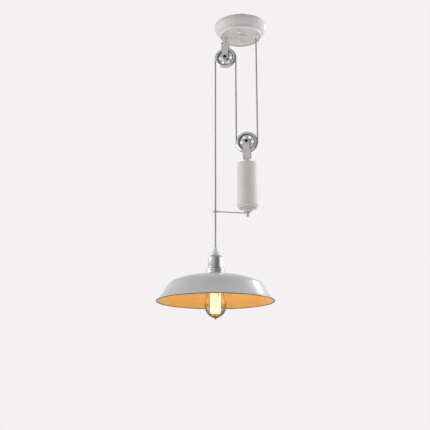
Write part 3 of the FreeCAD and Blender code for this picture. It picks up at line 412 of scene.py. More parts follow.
underCoat = (0.30, 0.29, 0.27)
chromeFinish = (0.80, 0.81, 0.79), (0.66, 0.67, 0.65), 0.14, (900, 60, 900), 0.10
finishes = {
    "white_paint": paintMaterial("creamPaint", (0.72, 0.705, 0.67), underCoat, 0.5, coat=0.0),
    "lamp_paint": paintMaterial("silverWhiteEnamel", (0.585, 0.59, 0.60), (0.35, 0.34, 0.32), 0.30, 0.2, 0.1, 0.6),
    "chrome": metalMaterial("turnedChrome", *chromeFinish),
    "dark_bolt": metalMaterial("oiledBoltSteel", (0.06, 0.035, 0.03), (0.03, 0.02, 0.02), 0.45, (300,) * 3, 0.2),
    "zinc_steel": metalMaterial("zincPlate", (0.66, 0.66, 0.65), (0.50, 0.50, 0.49), 0.38, (60, 60, 1500), 0.15),
    "sleeve_metal": metalMaterial("spunAluminium", (0.62,) * 3, (0.45,) * 3, 0.35, (20, 20, 2200), 0.2),
    "bearing_brass": metalMaterial("plainBrass", (0.60, 0.42, 0.16), (0.42, 0.28, 0.10), 0.35, (40, 40, 1800), 0.15),
    "ballast_iron": metalMaterial("castIron", (0.10,) * 3, (0.05,) * 3, 0.7, (400,) * 3, 0.5),
    "cable_braid": braidMaterial(),
    "white_nylon": plasticMaterial("whiteNylon", (0.86, 0.86, 0.84), 0.38, soft=0.2),
    "block_plastic": plasticMaterial("ivoryBlockPlastic", (0.78, 0.75, 0.64), 0.45),
    "live_core": plasticMaterial("brownCore", (0.16, 0.06, 0.02), 0.35),
    "neutral_core": plasticMaterial("blueCore", (0.02, 0.10, 0.42), 0.35),
    "earth_core": plasticMaterial("greenCore", (0.16, 0.36, 0.03), 0.35),
    "porcelain": plasticMaterial("glazedPorcelain", (0.84, 0.82, 0.76), 0.12, 60.0, 0.1),
    "amber_glass": glassMaterial("amberGlass", (0.99, 0.95, 0.87), (0.92, 0.78, 0.55), amberTipAndEdgeShade),
    "clear_glass": glassMaterial("clearGlass", (0.97, 0.93, 0.86), (0.80, 0.70, 0.55)),
    "filament_metal": filamentMaterial(),
}
for node, slot in slots.items():
    nodes[node].data.materials.clear()
    nodes[node].data.materials.append(finishes[slot])
nutPaint = paintMaterial("nutPaint", (0.88, 0.87, 0.84), underCoat, 0.35)
nodes["canopy_cap_nuts"].data.materials[0] = nutPaint
print("finishes made:", len(finishes))


# mesh helpers: every outline below is (distance from the axis, height), in millimetres

def onCircle(radius, angle):
    return radius * math.cos(angle), radius * math.sin(angle)


def arcPoints(centre, radius, start, end, steps):
    # angles in degrees
    spots = [onCircle(radius, math.radians(start + (end - start) * n / steps)) for n in range(steps + 1)]
    return [(centre[0] + x, centre[1] + z) for x, z in spots]


def bulgedRun(start, end, radius, steps, outward=1):
    # an arc of the given radius from start to end, bulging away from the axis
    a, b = Vector(start), Vector(end)
    way = b - a
    across = Vector((way.y, -way.x)).normalized() * outward
    centre = (a + b) / 2 - across * math.sqrt(radius ** 2 - way.length_squared / 4)
    first = math.degrees(math.atan2(a.y - centre.y, a.x - centre.x))
    last = math.degrees(math.atan2(b.y - centre.y, b.x - centre.x))
    return arcPoints(centre, radius, first, first + (last - first + 180) % 360 - 180, steps)


def softened(corners, steps=5):
    # each corner is (x, z) or (x, z, rounding)
    points = []
    for number, corner in enumerate(corners):
        if len(corner) == 2:
            points.append(corner)
            continue
        here = Vector(corner[:2])
        before = Vector(corners[number - 1][:2]) - here
        after = Vector(corners[(number + 1) % len(corners)][:2]) - here
        half = max(before.angle(after) / 2, 0.02)
        back = min(corner[2] / math.tan(half), before.length * 0.49, after.length * 0.49)
        start, end = here + before.normalized() * back, here + after.normalized() * back
        for step in range(steps + 1):
            share = step / steps
            points.append(tuple(start.lerp(here, share).lerp(here.lerp(end, share), share)))
    return points


def turnedShape(outline, centre, steps=96, closed=True, along="z", marks=None):
    # turns an outline round its axis; marks names the material of each band
    shape = bmesh.new()
    rings = []
    for radius, height in outline:
        if radius < 1e-6:
            rings.append([shape.verts.new((0, 0, height * mm))] * steps)
            continue
        rings.append([shape.verts.new((*onCircle(radius * mm, 2 * math.pi * n / steps), height * mm))
                      for n in range(steps)])
    pairs = list(zip(rings, rings[1:])) + ([(rings[-1], rings[0])] if closed else [])
    for band, (low, high) in enumerate(pairs):
        for n in range(steps):
            after = (n + 1) % steps
            corners = list(dict.fromkeys((low[n], low[after], high[after], high[n])))
            if len(corners) > 2:
                shape.faces.new(corners).material_index = marks[band] if marks else 0
    if along == "y":
        bmesh.ops.rotate(shape, verts=shape.verts, cent=(0, 0, 0), matrix=Matrix.Rotation(math.pi / 2, 3, "X"))
    bmesh.ops.translate(shape, verts=shape.verts, vec=centre)
    bmesh.ops.recalc_face_normals(shape, faces=shape.faces)
    return shape


def meshFrom(shape, name):
    mesh = bpy.data.meshes.new(name)
    shape.to_mesh(mesh)
    shape.free()
    return mesh


def plainMesh(holder):
    # what an object's modifiers make of it, as a mesh of its own
    bpy.context.view_layer.update()
    made = bpy.data.meshes.new_from_object(holder.evaluated_get(bpy.context.evaluated_depsgraph_get()))
    holder.modifiers.clear()
    bpy.data.objects.remove(holder)
    return made


def finishPiece(name, shape, body, node, materials=None, angle=32, blendTo=None):
    # shape is a bmesh or a mesh that stands in for a node; blendTo is (other body, start, end), of which only its
    # being given is read: such a piece is baked in place and joins no body
    mesh = meshFrom(shape, name) if isinstance(shape, bmesh.types.BMesh) else shape
    mesh.name = name
    for polygon in mesh.polygons:
        polygon.use_smooth = True
    mesh.set_sharp_from_angle(angle=math.radians(angle))
    if mesh.materials:
        mesh.materials.clear()
    for material in materials or [finishes[slots[node]]]:
        mesh.materials.append(material)
    piece = addObject(name, mesh)
    if blendTo:
        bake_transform(piece)
    else:
        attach(piece, body)
    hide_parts(node)


def geometryTree(name, inputs):
    tree = bpy.data.node_groups.new(name, "GeometryNodeTree")
    for label, kind in {"Geometry": "Geometry", **inputs, "Finish": "Material"}.items():
        tree.interface.new_socket(label, in_out="INPUT", socket_type="NodeSocket" + kind)
    tree.interface.new_socket("Geometry", in_out="OUTPUT", socket_type="NodeSocketGeometry")
    return tree, tree.nodes.new("NodeGroupInput").outputs


def endTree(tree, geometry, finish):
    whole = nodeOut(tree, "GeometryNodeRealizeInstances", {"Geometry": geometry})
    coated = nodeOut(tree, "GeometryNodeSetMaterial", {"Geometry": whole, "Material": finish})
    addNode(tree, "NodeGroupOutput", {"Geometry": coated})
    return tree


def onRing(tree, count, radius, thing):
    # copies of a thing on a level ring
    ring = nodeOut(tree, "GeometryNodeMeshCircle", {"Vertices": count, "Radius": radius})
    return nodeOut(tree, "GeometryNodeInstanceOnPoints", {"Points": ring, "Instance": thing})


def rodNode(tree, sides, radius, length):
    return addNode(tree, "GeometryNodeMeshCylinder", {
        "Vertices": sides, "Radius": radius, "Depth": length}).outputs["Mesh"]


def throughTree(name, mesh, tree, values):
    # run one mesh through a geometry node tree and take the plain mesh that comes out
    holder = addObject(name, mesh)
    modifier = holder.modifiers.new(name, "NODES")
    modifier.node_group = tree
    sockets = {item.name: item.identifier for item in tree.interface.items_tree if item.in_out == "INPUT"}
    for label, value in values.items():
        modifier[sockets[label]] = value
    return plainMesh(holder)


# the cable: a round tube along its line, which carries its own lay for the braid
cableValues = {
    "sides": 20,
    "step": 2.5,             # mm between rings on a half turn
    "straightStep": 12.0,    # mm between rings on a straight run
}


def tubeTree():
    tree, into = geometryTree("roundTube", {"Radius": "Float", "Sides": "Int", "Start": "Float"})
    line = nodeOut(tree, "GeometryNodeMeshToCurve", {"Mesh": into["Geometry"]})
    kept = addNode(tree, "GeometryNodeCaptureAttribute", {"Geometry": line})
    kept.capture_items.new("FLOAT", "Along")
    feed(tree, kept.inputs[1], addNode(tree, "GeometryNodeSplineParameter").outputs["Length"])
    ring = nodeOut(tree, "GeometryNodeCurvePrimitiveCircle", {
        "Resolution": into["Sides"], "Radius": into["Radius"]})
    keptRing = addNode(tree, "GeometryNodeCaptureAttribute", {"Geometry": ring})
    keptRing.capture_items.new("VECTOR", "Round")
    feed(tree, keptRing.inputs[1], nodeOut(tree, "GeometryNodeInputPosition"))
    swept = addNode(tree, "GeometryNodeCurveToMesh", {
        "Curve": kept.outputs["Geometry"], "Profile Curve": keptRing.outputs["Geometry"], "Fill Caps": True})
    flat = split(tree, keptRing.outputs[1])
    lay = nodeOut(tree, "ShaderNodeCombineXYZ", {
        "X": flat[0], "Y": flat[1], "Z": plus(tree, kept.outputs[1], into["Start"])})
    stored = addNode(tree, "GeometryNodeStoreNamedAttribute", {
        "Geometry": swept.outputs[0], "Name": "cableLay", "Value": lay}, data_type="FLOAT_VECTOR")
    return endTree(tree, stored.outputs[0], into["Finish"])


roundTube = tubeTree()


def tubeMesh(name, points, radius, finish, sides=20, start=0.0, closed=False):
    line = bpy.data.meshes.new(name + "Line")
    links = [(n, n + 1) for n in range(len(points) - 1)]
    if closed:
        links.append((len(points) - 1, 0))
    line.from_pydata([tuple(point) for point in points], links, [])
    return throughTree(name, line, roundTube, {"Radius": radius, "Sides": sides, "Start": start, "Finish": finish})


def straightPoints(start, end, step):
    count = max(int((end - start).length / (step * mm)), 2)
    return [start.lerp(end, n / count) for n in range(count + 1)]


def halfTurnPoints(centre, radius, startAngle, endAngle):
    count = int(math.pi * radius / (cableValues["step"] * mm))
    turns = arcPoints((centre.x, centre.z), radius, startAngle, endAngle, count)
    return [Vector((x, centre.y, z)) for x, z in turns]


def makeCable():
    v = cableValues
    low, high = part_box("cable_feed_run")
    radius = (high.x - low.x) / 2
    pitch = upperHub.x - lampX
    feedX, middleX = boxCentre("cable_feed_run").x, boxCentre("cable_middle_run").x
    outlet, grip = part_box("canopy")[0].z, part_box("cord_grip")[1].z
    feedRun = [Vector((feedX, 0, z)) for z in (high.z, lowerHub.z, outlet)]
    middle = [Vector((middleX, 0, z)) for z in (lowerHub.z, upperHub.z)]
    lamp = [Vector((lampX, 0, z)) for z in (upperHub.z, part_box("cable_lamp_run")[0].z, grip)]
    step = v["straightStep"]
    length = 0.0
    for name, points, body, node, blendTo in (
        ("cableFeedRun", straightPoints(*feedRun[:2], step), "root", "cable_feed_run",
         ("counterweight", feedRun[2], feedRun[1])),
        ("cableLowerTurn", halfTurnPoints(lowerHub, pitch, 0, -180), "counterweight", "cable_lower_wrap", None),
        ("cableMiddleRun", straightPoints(*middle, step), "root", "cable_middle_run",
         ("counterweight", middle[1], middle[0])),
        ("cableUpperTurn", halfTurnPoints(upperHub, pitch, 0, 180), "root", "cable_upper_wrap", None),
        ("cableLampRun", straightPoints(*lamp[:2], step), "root", "cable_lamp_run", ("lamp", lamp[0], lamp[2])),
    ):
        mesh = tubeMesh(name, points, radius, finishes["cable_braid"], v["sides"], length)
        length += sum((b - a).length for a, b in zip(points, points[1:]))
        finishPiece(name, mesh, body, node, angle=40, blendTo=blendTo)
    print(f"cable laid: {length:.3f} m of braid")


makeCable()


# ceiling plate: a stepped skirt with a rounded bead, and a flat face let in behind it
plateValues = {
    "radius": 83.0, "edge": 8.0, "skirtFoot": 70.0, "skirtHeight": 27.0, "skirtRound": 32.0, "step": 2.5,
    "height": 36.0, "bead": 3.0, "land": 2.0, "recess": 1.5, "wall": 1.2,
    # the plate's paint is a slightly darker copy of the cream: painted shade
    "paint": (0.705, 0.69, 0.66), "paintedHighlightPeak": 1.3,
}


def plateMaterial():
    # painted light and shade on the plate: the flat face is painted greyer than the skirt as painted shade, a
    # painted shadow sits in its corner and at the foot of the step, and the bead carries a painted highlight
    v = plateValues
    material = paintMaterial("platePaint", v["paint"], underCoat, 0.45, coat=0.1)
    tree, socket, paint = underTone(material)
    place = split(tree, objectPlace(tree))
    out = mathNode(tree, "DIVIDE", offAxis(tree, place[0], place[1]), v["radius"] * mm)
    paintedLightBands = addNode(tree, "ShaderNodeValToRGB", {"Fac": out})
    stops = paintedLightBands.color_ramp.elements
    inner = (v["skirtFoot"] - v["step"]) / v["radius"]
    beadIn = inner - (v["bead"] + v["land"]) / v["radius"]
    paintedShadeLevels = [(0.0, 0.96), (beadIn - 0.05, 0.93), (beadIn - 0.005, 0.64), (beadIn + 0.02, 1.3), (inner - 0.01, 1.25),
              (inner + 0.012, 0.82), (inner + 0.04, 1.0)]   # share of the radius, brightness
    while len(stops) < len(paintedShadeLevels):
        stops.new(0.5)
    for stop, (reach, level) in zip(stops, paintedShadeLevels):
        stop.position = reach
        stop.color = (level / v["paintedHighlightPeak"],) * 3 + (1,)
    gain = nodeOut(tree, "ShaderNodeVectorMath", {0: paintedLightBands.outputs["Color"], "Scale": v["paintedHighlightPeak"]},
                   operation="SCALE")
    feed(tree, socket, mixColour(tree, 1.0, paint, gain, "MULTIPLY"))
    return material


def makePlate():
    v = plateValues
    wall, foot = v["wall"], -v["skirtHeight"]
    inner = v["skirtFoot"] - v["step"]
    flat = inner - v["bead"] - v["land"]
    face = v["recess"] - v["height"]
    skirt = bulgedRun((v["radius"], -v["edge"]), (v["skirtFoot"], foot), v["skirtRound"], 14, -1)
    under = softened([
        skirt[-1], (inner, foot - v["step"], 0.8), (inner, -v["height"], v["bead"] * 1.4),
        (flat, -v["height"], 1.2), (flat - v["recess"], face, 0.8), (0.0, face)])[1:]
    inside = [(0.0, face + wall), (inner - wall, face + wall), (inner - wall, foot),
              (v["skirtFoot"] - wall - 1.5, foot + wall)]
    inside += [(x - wall, z + wall * 0.4) for x, z in reversed(skirt[:-1])] + [(v["radius"] - wall, 0.0)]
    shape = turnedShape([(v["radius"], 0.0), *skirt, *under, *inside], Vector((0, 0, 0)), 128)
    finishPiece("ceilingPlate", shape, "root", "canopy", [plateMaterial()])
    plug = softened([(0.0, -1.8), (11.2, -1.8, 1.0), (12.2, -4.0, 1.0), (14.2, -4.0, 1.4), (15.0, -1.6, 1.0),
                     (15.0, 0.0), (5.0, 0.0), (5.0, 5.0), (0.0, 5.0)])   # a shallow dish with a ring round it
    finishPiece("platePlug", turnedShape(plug, Vector((0, 0, face * mm)), 64, False), "root", "centre_cover")
    print("ceiling plate turned")


makePlate()


# yokes and wheels
yokeValues = {
    "width": 23.0, "thickness": 2.5, "gap": 20.0, "length": 55.0, "bend": 4.0, "end": 9.5, "taper": 12.0,
    "edge": 0.45,
    "endSteps": 12, "earSteps": 8, "bendSteps": 6, "columns": 8,
}
wheelValues = {
    "pitch": 33.25, "flange": 0.1, "width": 12.0, "rimDepth": 9.5, "web": 5.0, "hub": 10.5, "hubWidth": 14.0,
    "bore": 5.52, "groove": 2.8, "holes": 6, "holeRadius": 4.5, "holeCircle": 17.5,
    # a painted shadow ring inside the rim: its colour, where it sits, its reach and its share
    "paintedShadeRing": (0.07, 0.07, 0.065), "paintedShadeRingPlace": 0.4, "paintedShadeRingReach": (0.7, 3.0), "paintedShadeRingShare": 0.85,
}


def makeYoke(name, node, centre, body, upright):
    v = yokeValues
    half = v["gap"] / 2 + v["thickness"] / 2        # to the middle of the strap
    crown = v["length"] - v["thickness"] / 2
    bend = v["bend"] + v["thickness"] / 2
    side = []                                       # (y, z, half width) up one ear
    for n in range(v["endSteps"] + 1):
        across, up = onCircle(v["end"], math.pi / 2 * n / v["endSteps"])
        side.append((half, -across, max(up, 0.05)))
    for n in range(1, v["earSteps"] + 1):
        share = n / v["earSteps"]
        side.append((half, (v["length"] - v["taper"]) * share, v["end"] + (v["width"] / 2 - v["end"]) * share))
    for n in range(v["bendSteps"] + 1):
        out, up = onCircle(bend, math.pi / 2 * n / v["bendSteps"])
        side.append((half - bend + out, crown - bend + up, v["width"] / 2))
    path = side + [(-y, z, wide) for y, z, wide in reversed(side)]
    shape = bmesh.new()
    columns = v["columns"]
    rows = [[shape.verts.new((wide * mm * (2 * n / columns - 1), y * mm, z * mm)) for n in range(columns + 1)]
            for y, z, wide in path]
    for low, high in zip(rows, rows[1:]):
        for n in range(columns):
            shape.faces.new((low[n], low[n + 1], high[n + 1], high[n]))
    bmesh.ops.recalc_face_normals(shape, faces=shape.faces)
    turn = Matrix.Identity(4) if upright else Matrix.Rotation(math.pi, 4, "Y")
    bmesh.ops.transform(shape, matrix=Matrix.Translation(centre) @ turn, verts=shape.verts)
    holder = addObject(name, meshFrom(shape, name))
    thick = holder.modifiers.new("thickness", "SOLIDIFY")
    thick.thickness = v["thickness"] * mm
    thick.offset = 0
    edge = holder.modifiers.new("edge", "BEVEL")
    edge.width = v["edge"] * mm
    edge.segments = 3
    edge.limit_method = "ANGLE"
    finishPiece(name, plainMesh(holder), body, node, angle=40)


def wheelMaterial(name, centre):
    # chrome with a painted shadow ring in the corner between the rim and the web, where the rim's inner wall is in
    # shade
    v = wheelValues
    material = metalMaterial(name, *chromeFinish)
    tree, socket, plated = underTone(material)
    place = split(tree, vectorMath(tree, "SUBTRACT", objectPlace(tree), centre)[0])
    corner = v["pitch"] + v["flange"] - v["rimDepth"] + v["paintedShadeRingPlace"]
    near = mathNode(tree, "ABSOLUTE", minus(tree, offAxis(tree, place[0], place[2]), corner * mm))
    ringShade = ranged(tree, near, [reach * mm for reach in v["paintedShadeRingReach"]], (v["paintedShadeRingShare"], 0.0))
    feed(tree, socket, mixColour(tree, ringShade, plated, v["paintedShadeRing"]))
    return material


def wheelTree():
    tree, into = geometryTree("wheelHoles", {
        "Hole Count": "Int", "Hole Circle": "Float", "Hole Radius": "Float", "Depth": "Float", "Centre": "Vector"})
    drill = rodNode(tree, 40, into["Hole Radius"], into["Depth"])
    drills = onRing(tree, into["Hole Count"], into["Hole Circle"], drill)
    real = nodeOut(tree, "GeometryNodeRealizeInstances", {"Geometry": drills})
    turned = nodeOut(tree, "GeometryNodeTransform", {
        "Geometry": real, "Translation": into["Centre"], "Rotation": (math.pi / 2, 0, 0)})
    cut = addNode(tree, "GeometryNodeMeshBoolean", operation="DIFFERENCE", solver="EXACT")
    feed(tree, cut.inputs["Mesh 1"], into["Geometry"])
    feed(tree, cut.inputs["Mesh 2"], turned)
    return endTree(tree, cut.outputs["Mesh"], into["Finish"])


def makeWheel(name, node, centre, body, tree):
    v = wheelValues
    rim = v["pitch"] + v["flange"]
    inside = rim - v["rimDepth"]
    halfRim, halfWeb, halfHub = v["width"] / 2, v["web"] / 2, v["hubWidth"] / 2
    low = math.degrees(math.asin(math.sqrt(v["groove"] ** 2 - v["flange"] ** 2) / v["groove"]))
    groove = arcPoints((v["pitch"], 0), v["groove"], low, 360 - low, 16)
    groove = [point for point in groove if point[0] < rim][::-1]
    near = softened([
        (v["bore"], -halfHub, 0.3), (v["hub"], -halfHub, 0.8), (v["hub"], -halfWeb, 0.8), (inside, -halfWeb, 0.8),
        (inside, -halfRim, 0.6), (rim, -halfRim, 1.0)], 3)
    far = softened([
        (rim, halfRim, 1.0), (inside, halfRim, 0.6), (inside, halfWeb, 0.8), (v["hub"], halfWeb, 0.8),
        (v["hub"], halfHub, 0.8), (v["bore"], halfHub, 0.3)], 3)
    outline = [*near, (rim, groove[0][1]), *groove, (rim, groove[-1][1]), *far]
    made = throughTree(name, meshFrom(turnedShape(outline, centre, 120, True, "y"), name), tree, {
        "Hole Count": v["holes"], "Hole Circle": v["holeCircle"] * mm, "Hole Radius": v["holeRadius"] * mm,
        "Depth": v["web"] * 3 * mm, "Centre": centre, "Finish": finishes["chrome"]})
    finishPiece(name, made, body, node, [wheelMaterial(name + "Chrome", centre)], angle=30)


makeYoke("upperYoke", "upper_yoke", upperHub, "root", True)
makeYoke("lowerYoke", "lower_yoke", lowerHub, "counterweight", False)
wheelHoles = wheelTree()
makeWheel("upperWheel", "upper_wheel", upperHub, "upper_wheel", wheelHoles)
makeWheel("lowerWheel", "lower_wheel", lowerHub, "lower_wheel", wheelHoles)
print("yokes and wheels made")


# the weight: neck, casing, lipped base, and a cone painted greyer than the casing as painted shade on its downward
# face
weightValues = {
    "radius": 31.5, "edge": 1.0, "lip": 33.4, "lipHeight": 7.0, "lipRound": 2.0, "taper": 7.5, "foot": 26.5,
    "cone": 25.2, "coneHeight": 11.6, "coneFoot": 9.5, "coneRound": 26.0, "rod": 4.02, "neckHeight": 15.0,
    "wall": 1.5, "plug": 7.0, "seat": 0.05, "neck": 8.5, "waist": 6.5,
    "coneShadedPaint": (0.60, 0.59, 0.565), "coneWorn": (0.26, 0.25, 0.23),
}


def makeWeight():
    v = weightValues
    rod, radius, wall = v["rod"], v["radius"], v["wall"]
    low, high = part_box("weight_casing")
    height = (high.z - low.z) / mm
    casing = softened([(rod, 0.0), (radius, 0.0, v["edge"] * 1.5), (radius, -height, 0.3), (radius - wall, -height),
                       (radius - wall, -wall), (rod, -wall)])
    plug = radius - wall - v["seat"]
    base = softened([
        (rod, v["plug"]), (plug, v["plug"]), (plug, 0.0), (v["lip"], 0.0, v["lipRound"] * 1.3),
        (v["lip"], -v["lipHeight"], 1.2), (v["foot"], -v["lipHeight"] - v["taper"], 0.6),
        (rod, -v["lipHeight"] - v["taper"])])
    cone = [(rod, 0.0), (v["cone"] - 0.3, 0.0), (v["cone"], -0.3)]
    cone += bulgedRun((v["cone"], -0.8), (v["coneFoot"], -v["coneHeight"]), v["coneRound"], 14)
    cone += [(rod, -v["coneHeight"])]
    neck, waist, foot = v["neck"], v["waist"], -v["neckHeight"]
    stem = softened([(rod, foot), (neck, foot, 0.4), (neck, foot * 0.75, 1.5), (waist, foot * 0.5, 1.5),
                     (waist, 0.0, 0.4), (rod, 0.0)])
    # a darker copy of the cream with darker mottle: painted shade on the cone's downward face
    coneShadedPaint = paintMaterial("coneShadedPaint", v["coneShadedPaint"], v["coneWorn"], 0.5, 0.5, 0.4, 0.0, 0.16)
    for name, node, outline, top, steps, materials in (
        ("weightCasing", "weight_casing", casing, high.z, 128, None),
        ("weightBase", "weight_base", base, low.z, 128, None),
        ("weightCone", "weight_end_cone", cone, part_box("weight_end_cone")[1].z, 96, [coneShadedPaint]),
        ("weightNeck", "weight_neck", stem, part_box("weight_neck")[1].z, 64, None),
    ):
        shape = turnedShape(outline, Vector((weightX, 0, top)), steps)
        finishPiece(name, shape, "counterweight", node, materials)
    print("weight turned")


makeWeight()


# guide arm: a rod brazed to a ring that runs on the lamp's cable
armValues = {
    "rod": 1.9, "eye": 7.5, "eyeWire": 1.8, "rise": 10.6, "root": 5.0, "collar": 7.0, "collarHeight": 5.0,
    "bore": 4.02, "eyeSteps": 40, "rodStep": 20.0,
    "braze": [(0.0, -3.6), (1.6, -3.0), (2.7, -1.2), (2.9, 0.0), (2.7, 1.2), (1.6, 3.0), (0.0, 3.6)],
}


def makeGuideArm():
    v = armValues
    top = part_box("weight_end_cone")[0].z
    root = Vector((weightX, 0, top - (v["collarHeight"] - v["rod"]) * mm))
    eye = Vector((lampX, 0, root.z + v["rise"] * mm))
    way = (eye - root).normalized()
    joint = eye - way * v["eye"] * mm
    steel = finishes["zinc_steel"]
    rod = tubeMesh("armRod", straightPoints(root + way * v["root"] * mm, joint, v["rodStep"]), v["rod"] * mm, steel)
    steps = v["eyeSteps"]
    ring = [eye + Vector((*onCircle(v["eye"] * mm, 2 * math.pi * n / steps), 0)) for n in range(steps)]
    eyeMesh = tubeMesh("armEye", ring, v["eyeWire"] * mm, steel, 16, closed=True)
    collar = turnedShape(softened([
        (v["bore"], 0.0), (v["collar"], 0.0, 0.6), (v["collar"], -v["collarHeight"], 0.6),
        (v["bore"], -v["collarHeight"])]), Vector((weightX, 0, top)), 64)
    braze = turnedShape(v["braze"], joint, 20, False)
    whole = bmesh.new()
    for part in (rod, eyeMesh, meshFrom(collar, "armCollar"), meshFrom(braze, "armBraze")):
        whole.from_mesh(part)
    finishPiece("guideArm", whole, "counterweight", "guide_arm")
    print("guide arm made")


makeGuideArm()


# lampholder: ribbed cord grip, domed cap and grooved ring
holderValues = {
    "gripHeight": 23.6, "gripNut": 12.0, "gripMouth": 5.5, "gripRadius": 8.4, "gripFoot": 9.6,
    "gripBore": 2.6, "gripNeck": 5.0, "gripTail": 8.0, "taper": 5.0, "ribs": 24, "ribDepth": 0.45,
    "cap": 23.2, "capHeight": 39.6, "capTop": 10.0, "dome": 7.5, "domeRound": 15.7, "lip": 3.4, "lipDepth": 0.5,
    "capBore": 5.1, "wall": 1.2, "ring": 27.9, "ringHeight": 15.6, "ringBore": 18.25, "groove": 1.2, "bead": 2.4,
    "satin": ((0.70,) * 3, (0.60,) * 3, 0.34, (30, 30, 2600), 0.1),
}


def ribTree():
    tree, into = geometryTree("gripRibs", {
        "Count": "Int", "Circle": "Float", "Height": "Float", "Depth": "Float", "Centre": "Vector"})
    ribs = onRing(tree, into["Count"], into["Circle"], rodNode(tree, 8, into["Depth"], into["Height"]))
    placed = nodeOut(tree, "GeometryNodeTransform", {"Geometry": ribs, "Translation": into["Centre"]})
    both = addNode(tree, "GeometryNodeJoinGeometry")
    for part in (into["Geometry"], placed):
        feed(tree, both.inputs[0], part)
    return endTree(tree, both.outputs[0], into["Finish"])


def makeLampholder():
    v = holderValues
    satin = metalMaterial("satinLampholder", *v["satin"])
    nut, foot, bore = v["gripNut"], v["gripHeight"], v["gripBore"]
    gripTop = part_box("cord_grip")[1].z
    grip = softened([
        (bore, 0.0), (v["gripMouth"], 0.0, 0.5), (v["gripRadius"], -v["taper"], 2.0), (v["gripRadius"], -nut, 0.4),
        (v["gripFoot"], -nut, 0.5), (v["gripFoot"], -foot, 0.4), (v["gripNeck"], -foot),
        (v["gripNeck"], -foot - v["gripTail"]), (bore, -foot - v["gripTail"])])
    mesh = meshFrom(turnedShape(grip, Vector((lampX, 0, gripTop)), 64), "cordGrip")
    ribbed = throughTree("cordGrip", mesh, ribTree(), {
        "Count": v["ribs"], "Circle": v["gripFoot"] * mm, "Height": (foot - nut - 2) * mm,
        "Depth": v["ribDepth"] * mm, "Finish": finishes["white_nylon"],
        "Centre": Vector((lampX, 0, gripTop - (foot + nut) / 2 * mm))})
    finishPiece("cordGrip", ribbed, "lamp", "cord_grip")
    side, lipTop, wall = v["cap"] - v["lipDepth"], v["lip"] - v["capHeight"], v["wall"]
    cap = [(v["capBore"], 0.0)] + bulgedRun((v["capTop"], 0.0), (side, -v["dome"]), v["domeRound"], 10, -1)
    cap += softened([
        (side, lipTop, 0.4), (v["cap"], lipTop - 0.4, 0.5), (v["cap"], -v["capHeight"], 0.8),
        (side - wall, -v["capHeight"]), (side - wall, -v["dome"] - wall), (v["capTop"], -wall),
        (v["capBore"], -wall)])
    waist, middle = v["ring"] - v["groove"], v["ringHeight"] / 2
    ring = softened([
        (v["ringBore"], 0.0), (v["ring"], 0.0, v["bead"]), (v["ring"], -middle + v["groove"], 0.6),
        (waist, -middle, 0.5), (v["ring"], -middle - v["groove"], 0.6), (v["ring"], -v["ringHeight"], v["bead"]),
        (v["ringBore"], -v["ringHeight"])])
    for name, node, outline in (("holderCap", "holder_cap", cap), ("holderRing", "holder_ring", ring)):
        shape = turnedShape(outline, Vector((lampX, 0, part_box(node)[1].z)))
        finishPiece(name, shape, "lamp", node, [satin])
    print("lampholder made")


makeLampholder()


# shade: white enamel outside, warm gold inside, and a rolled rim painted dark as painted shade
shadeValues = {
    "radius": 175.0, "wall": 1.0, "flareRound": 180.0, "rimAngle": 47.1, "sideAngle": 59.3, "shoulderRound": 25.5,
    "shoulderAngle": 26.0, "domeRound": 198.5, "flat": 45.5, "collar": 29.0, "collarHeight": 6.8, "slope": 3.2,
    "bead": 1.5, "bore": 18.5, "steps": 192,
    "gold": (0.57, 0.375, 0.115), "goldDark": (0.51, 0.32, 0.095), "rimShadeColour": (0.085, 0.070, 0.055),
}


def shadeCurve(inset):
    # from the rim up to the flat of the dome: flare, straight side, shoulder and dome
    v = shadeValues
    rim, side, shoulder = (math.radians(v[key]) for key in ("rimAngle", "sideAngle", "shoulderAngle"))
    shoulderRound, dome = v["shoulderRound"], v["domeRound"]
    flareX, flareZ = v["radius"] + v["flareRound"] * math.sin(rim), v["flareRound"] * math.cos(rim)
    turnX = v["flat"] + (dome - shoulderRound) * math.sin(shoulder)
    sideX = turnX + shoulderRound * math.sin(side)
    rise = (flareX - v["flareRound"] * math.sin(side) - sideX) * math.tan(side)
    turnZ = flareZ - v["flareRound"] * math.cos(side) + rise - shoulderRound * math.cos(side)
    domeZ = turnZ + (shoulderRound - dome) * math.cos(shoulder)
    level = 90 - v["shoulderAngle"]
    flare = arcPoints((flareX, flareZ), v["flareRound"] + inset, 270 - v["rimAngle"], 270 - v["sideAngle"], 8)
    turn = arcPoints((turnX, turnZ), shoulderRound - inset, 90 - v["sideAngle"], level, 12)
    return flare + turn + arcPoints((v["flat"], domeZ), dome - inset, level, 90, 16)[1:]


def makeShade():
    v = shadeValues
    wall, neck = v["wall"], v["collar"] + v["slope"]
    outer, inner = shadeCurve(0.0), shadeCurve(wall)
    foot = outer[-1][1]
    height = foot + v["collarHeight"]
    bead = arcPoints((v["radius"] - wall / 2, 0), v["bead"], 20, -200, 14)[::-1]
    collar = softened([outer[-1], (neck, foot, 2.0), (v["collar"], height, 1.2), (v["bore"], height)])[1:]
    under = [(v["bore"], height - wall), (v["collar"] - wall / 2, height - wall), (neck - wall / 2, inner[-1][1])]
    outline = bead + outer[1:] + collar + under + inner[::-1][:-1]
    marks = [2] * (len(bead) - 1) + [0] * (len(outer) + len(collar)) + [1] * (len(under) + len(inner))
    place = Vector((lampX, 0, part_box("shade")[1].z - height * mm))
    gold = agedMaterial("goldEnamel", v["goldDark"], v["gold"], v["gold"], {"Edge Wear": 0.0, "Dust": 0.0},
                        (paintSkin, {"Peel Depth": 0.1, "Roughness": 0.42}))
    # the rolled rim is painted near black: painted shade along its edge
    edge = plasticMaterial("rimPaintedShade", v["rimShadeColour"], 0.5)
    finishPiece("shade", turnedShape(outline, place, v["steps"], marks=marks), "lamp", "shade",
                [finishes["lamp_paint"], gold, edge], 50)
    print("shade spun")


makeShade()


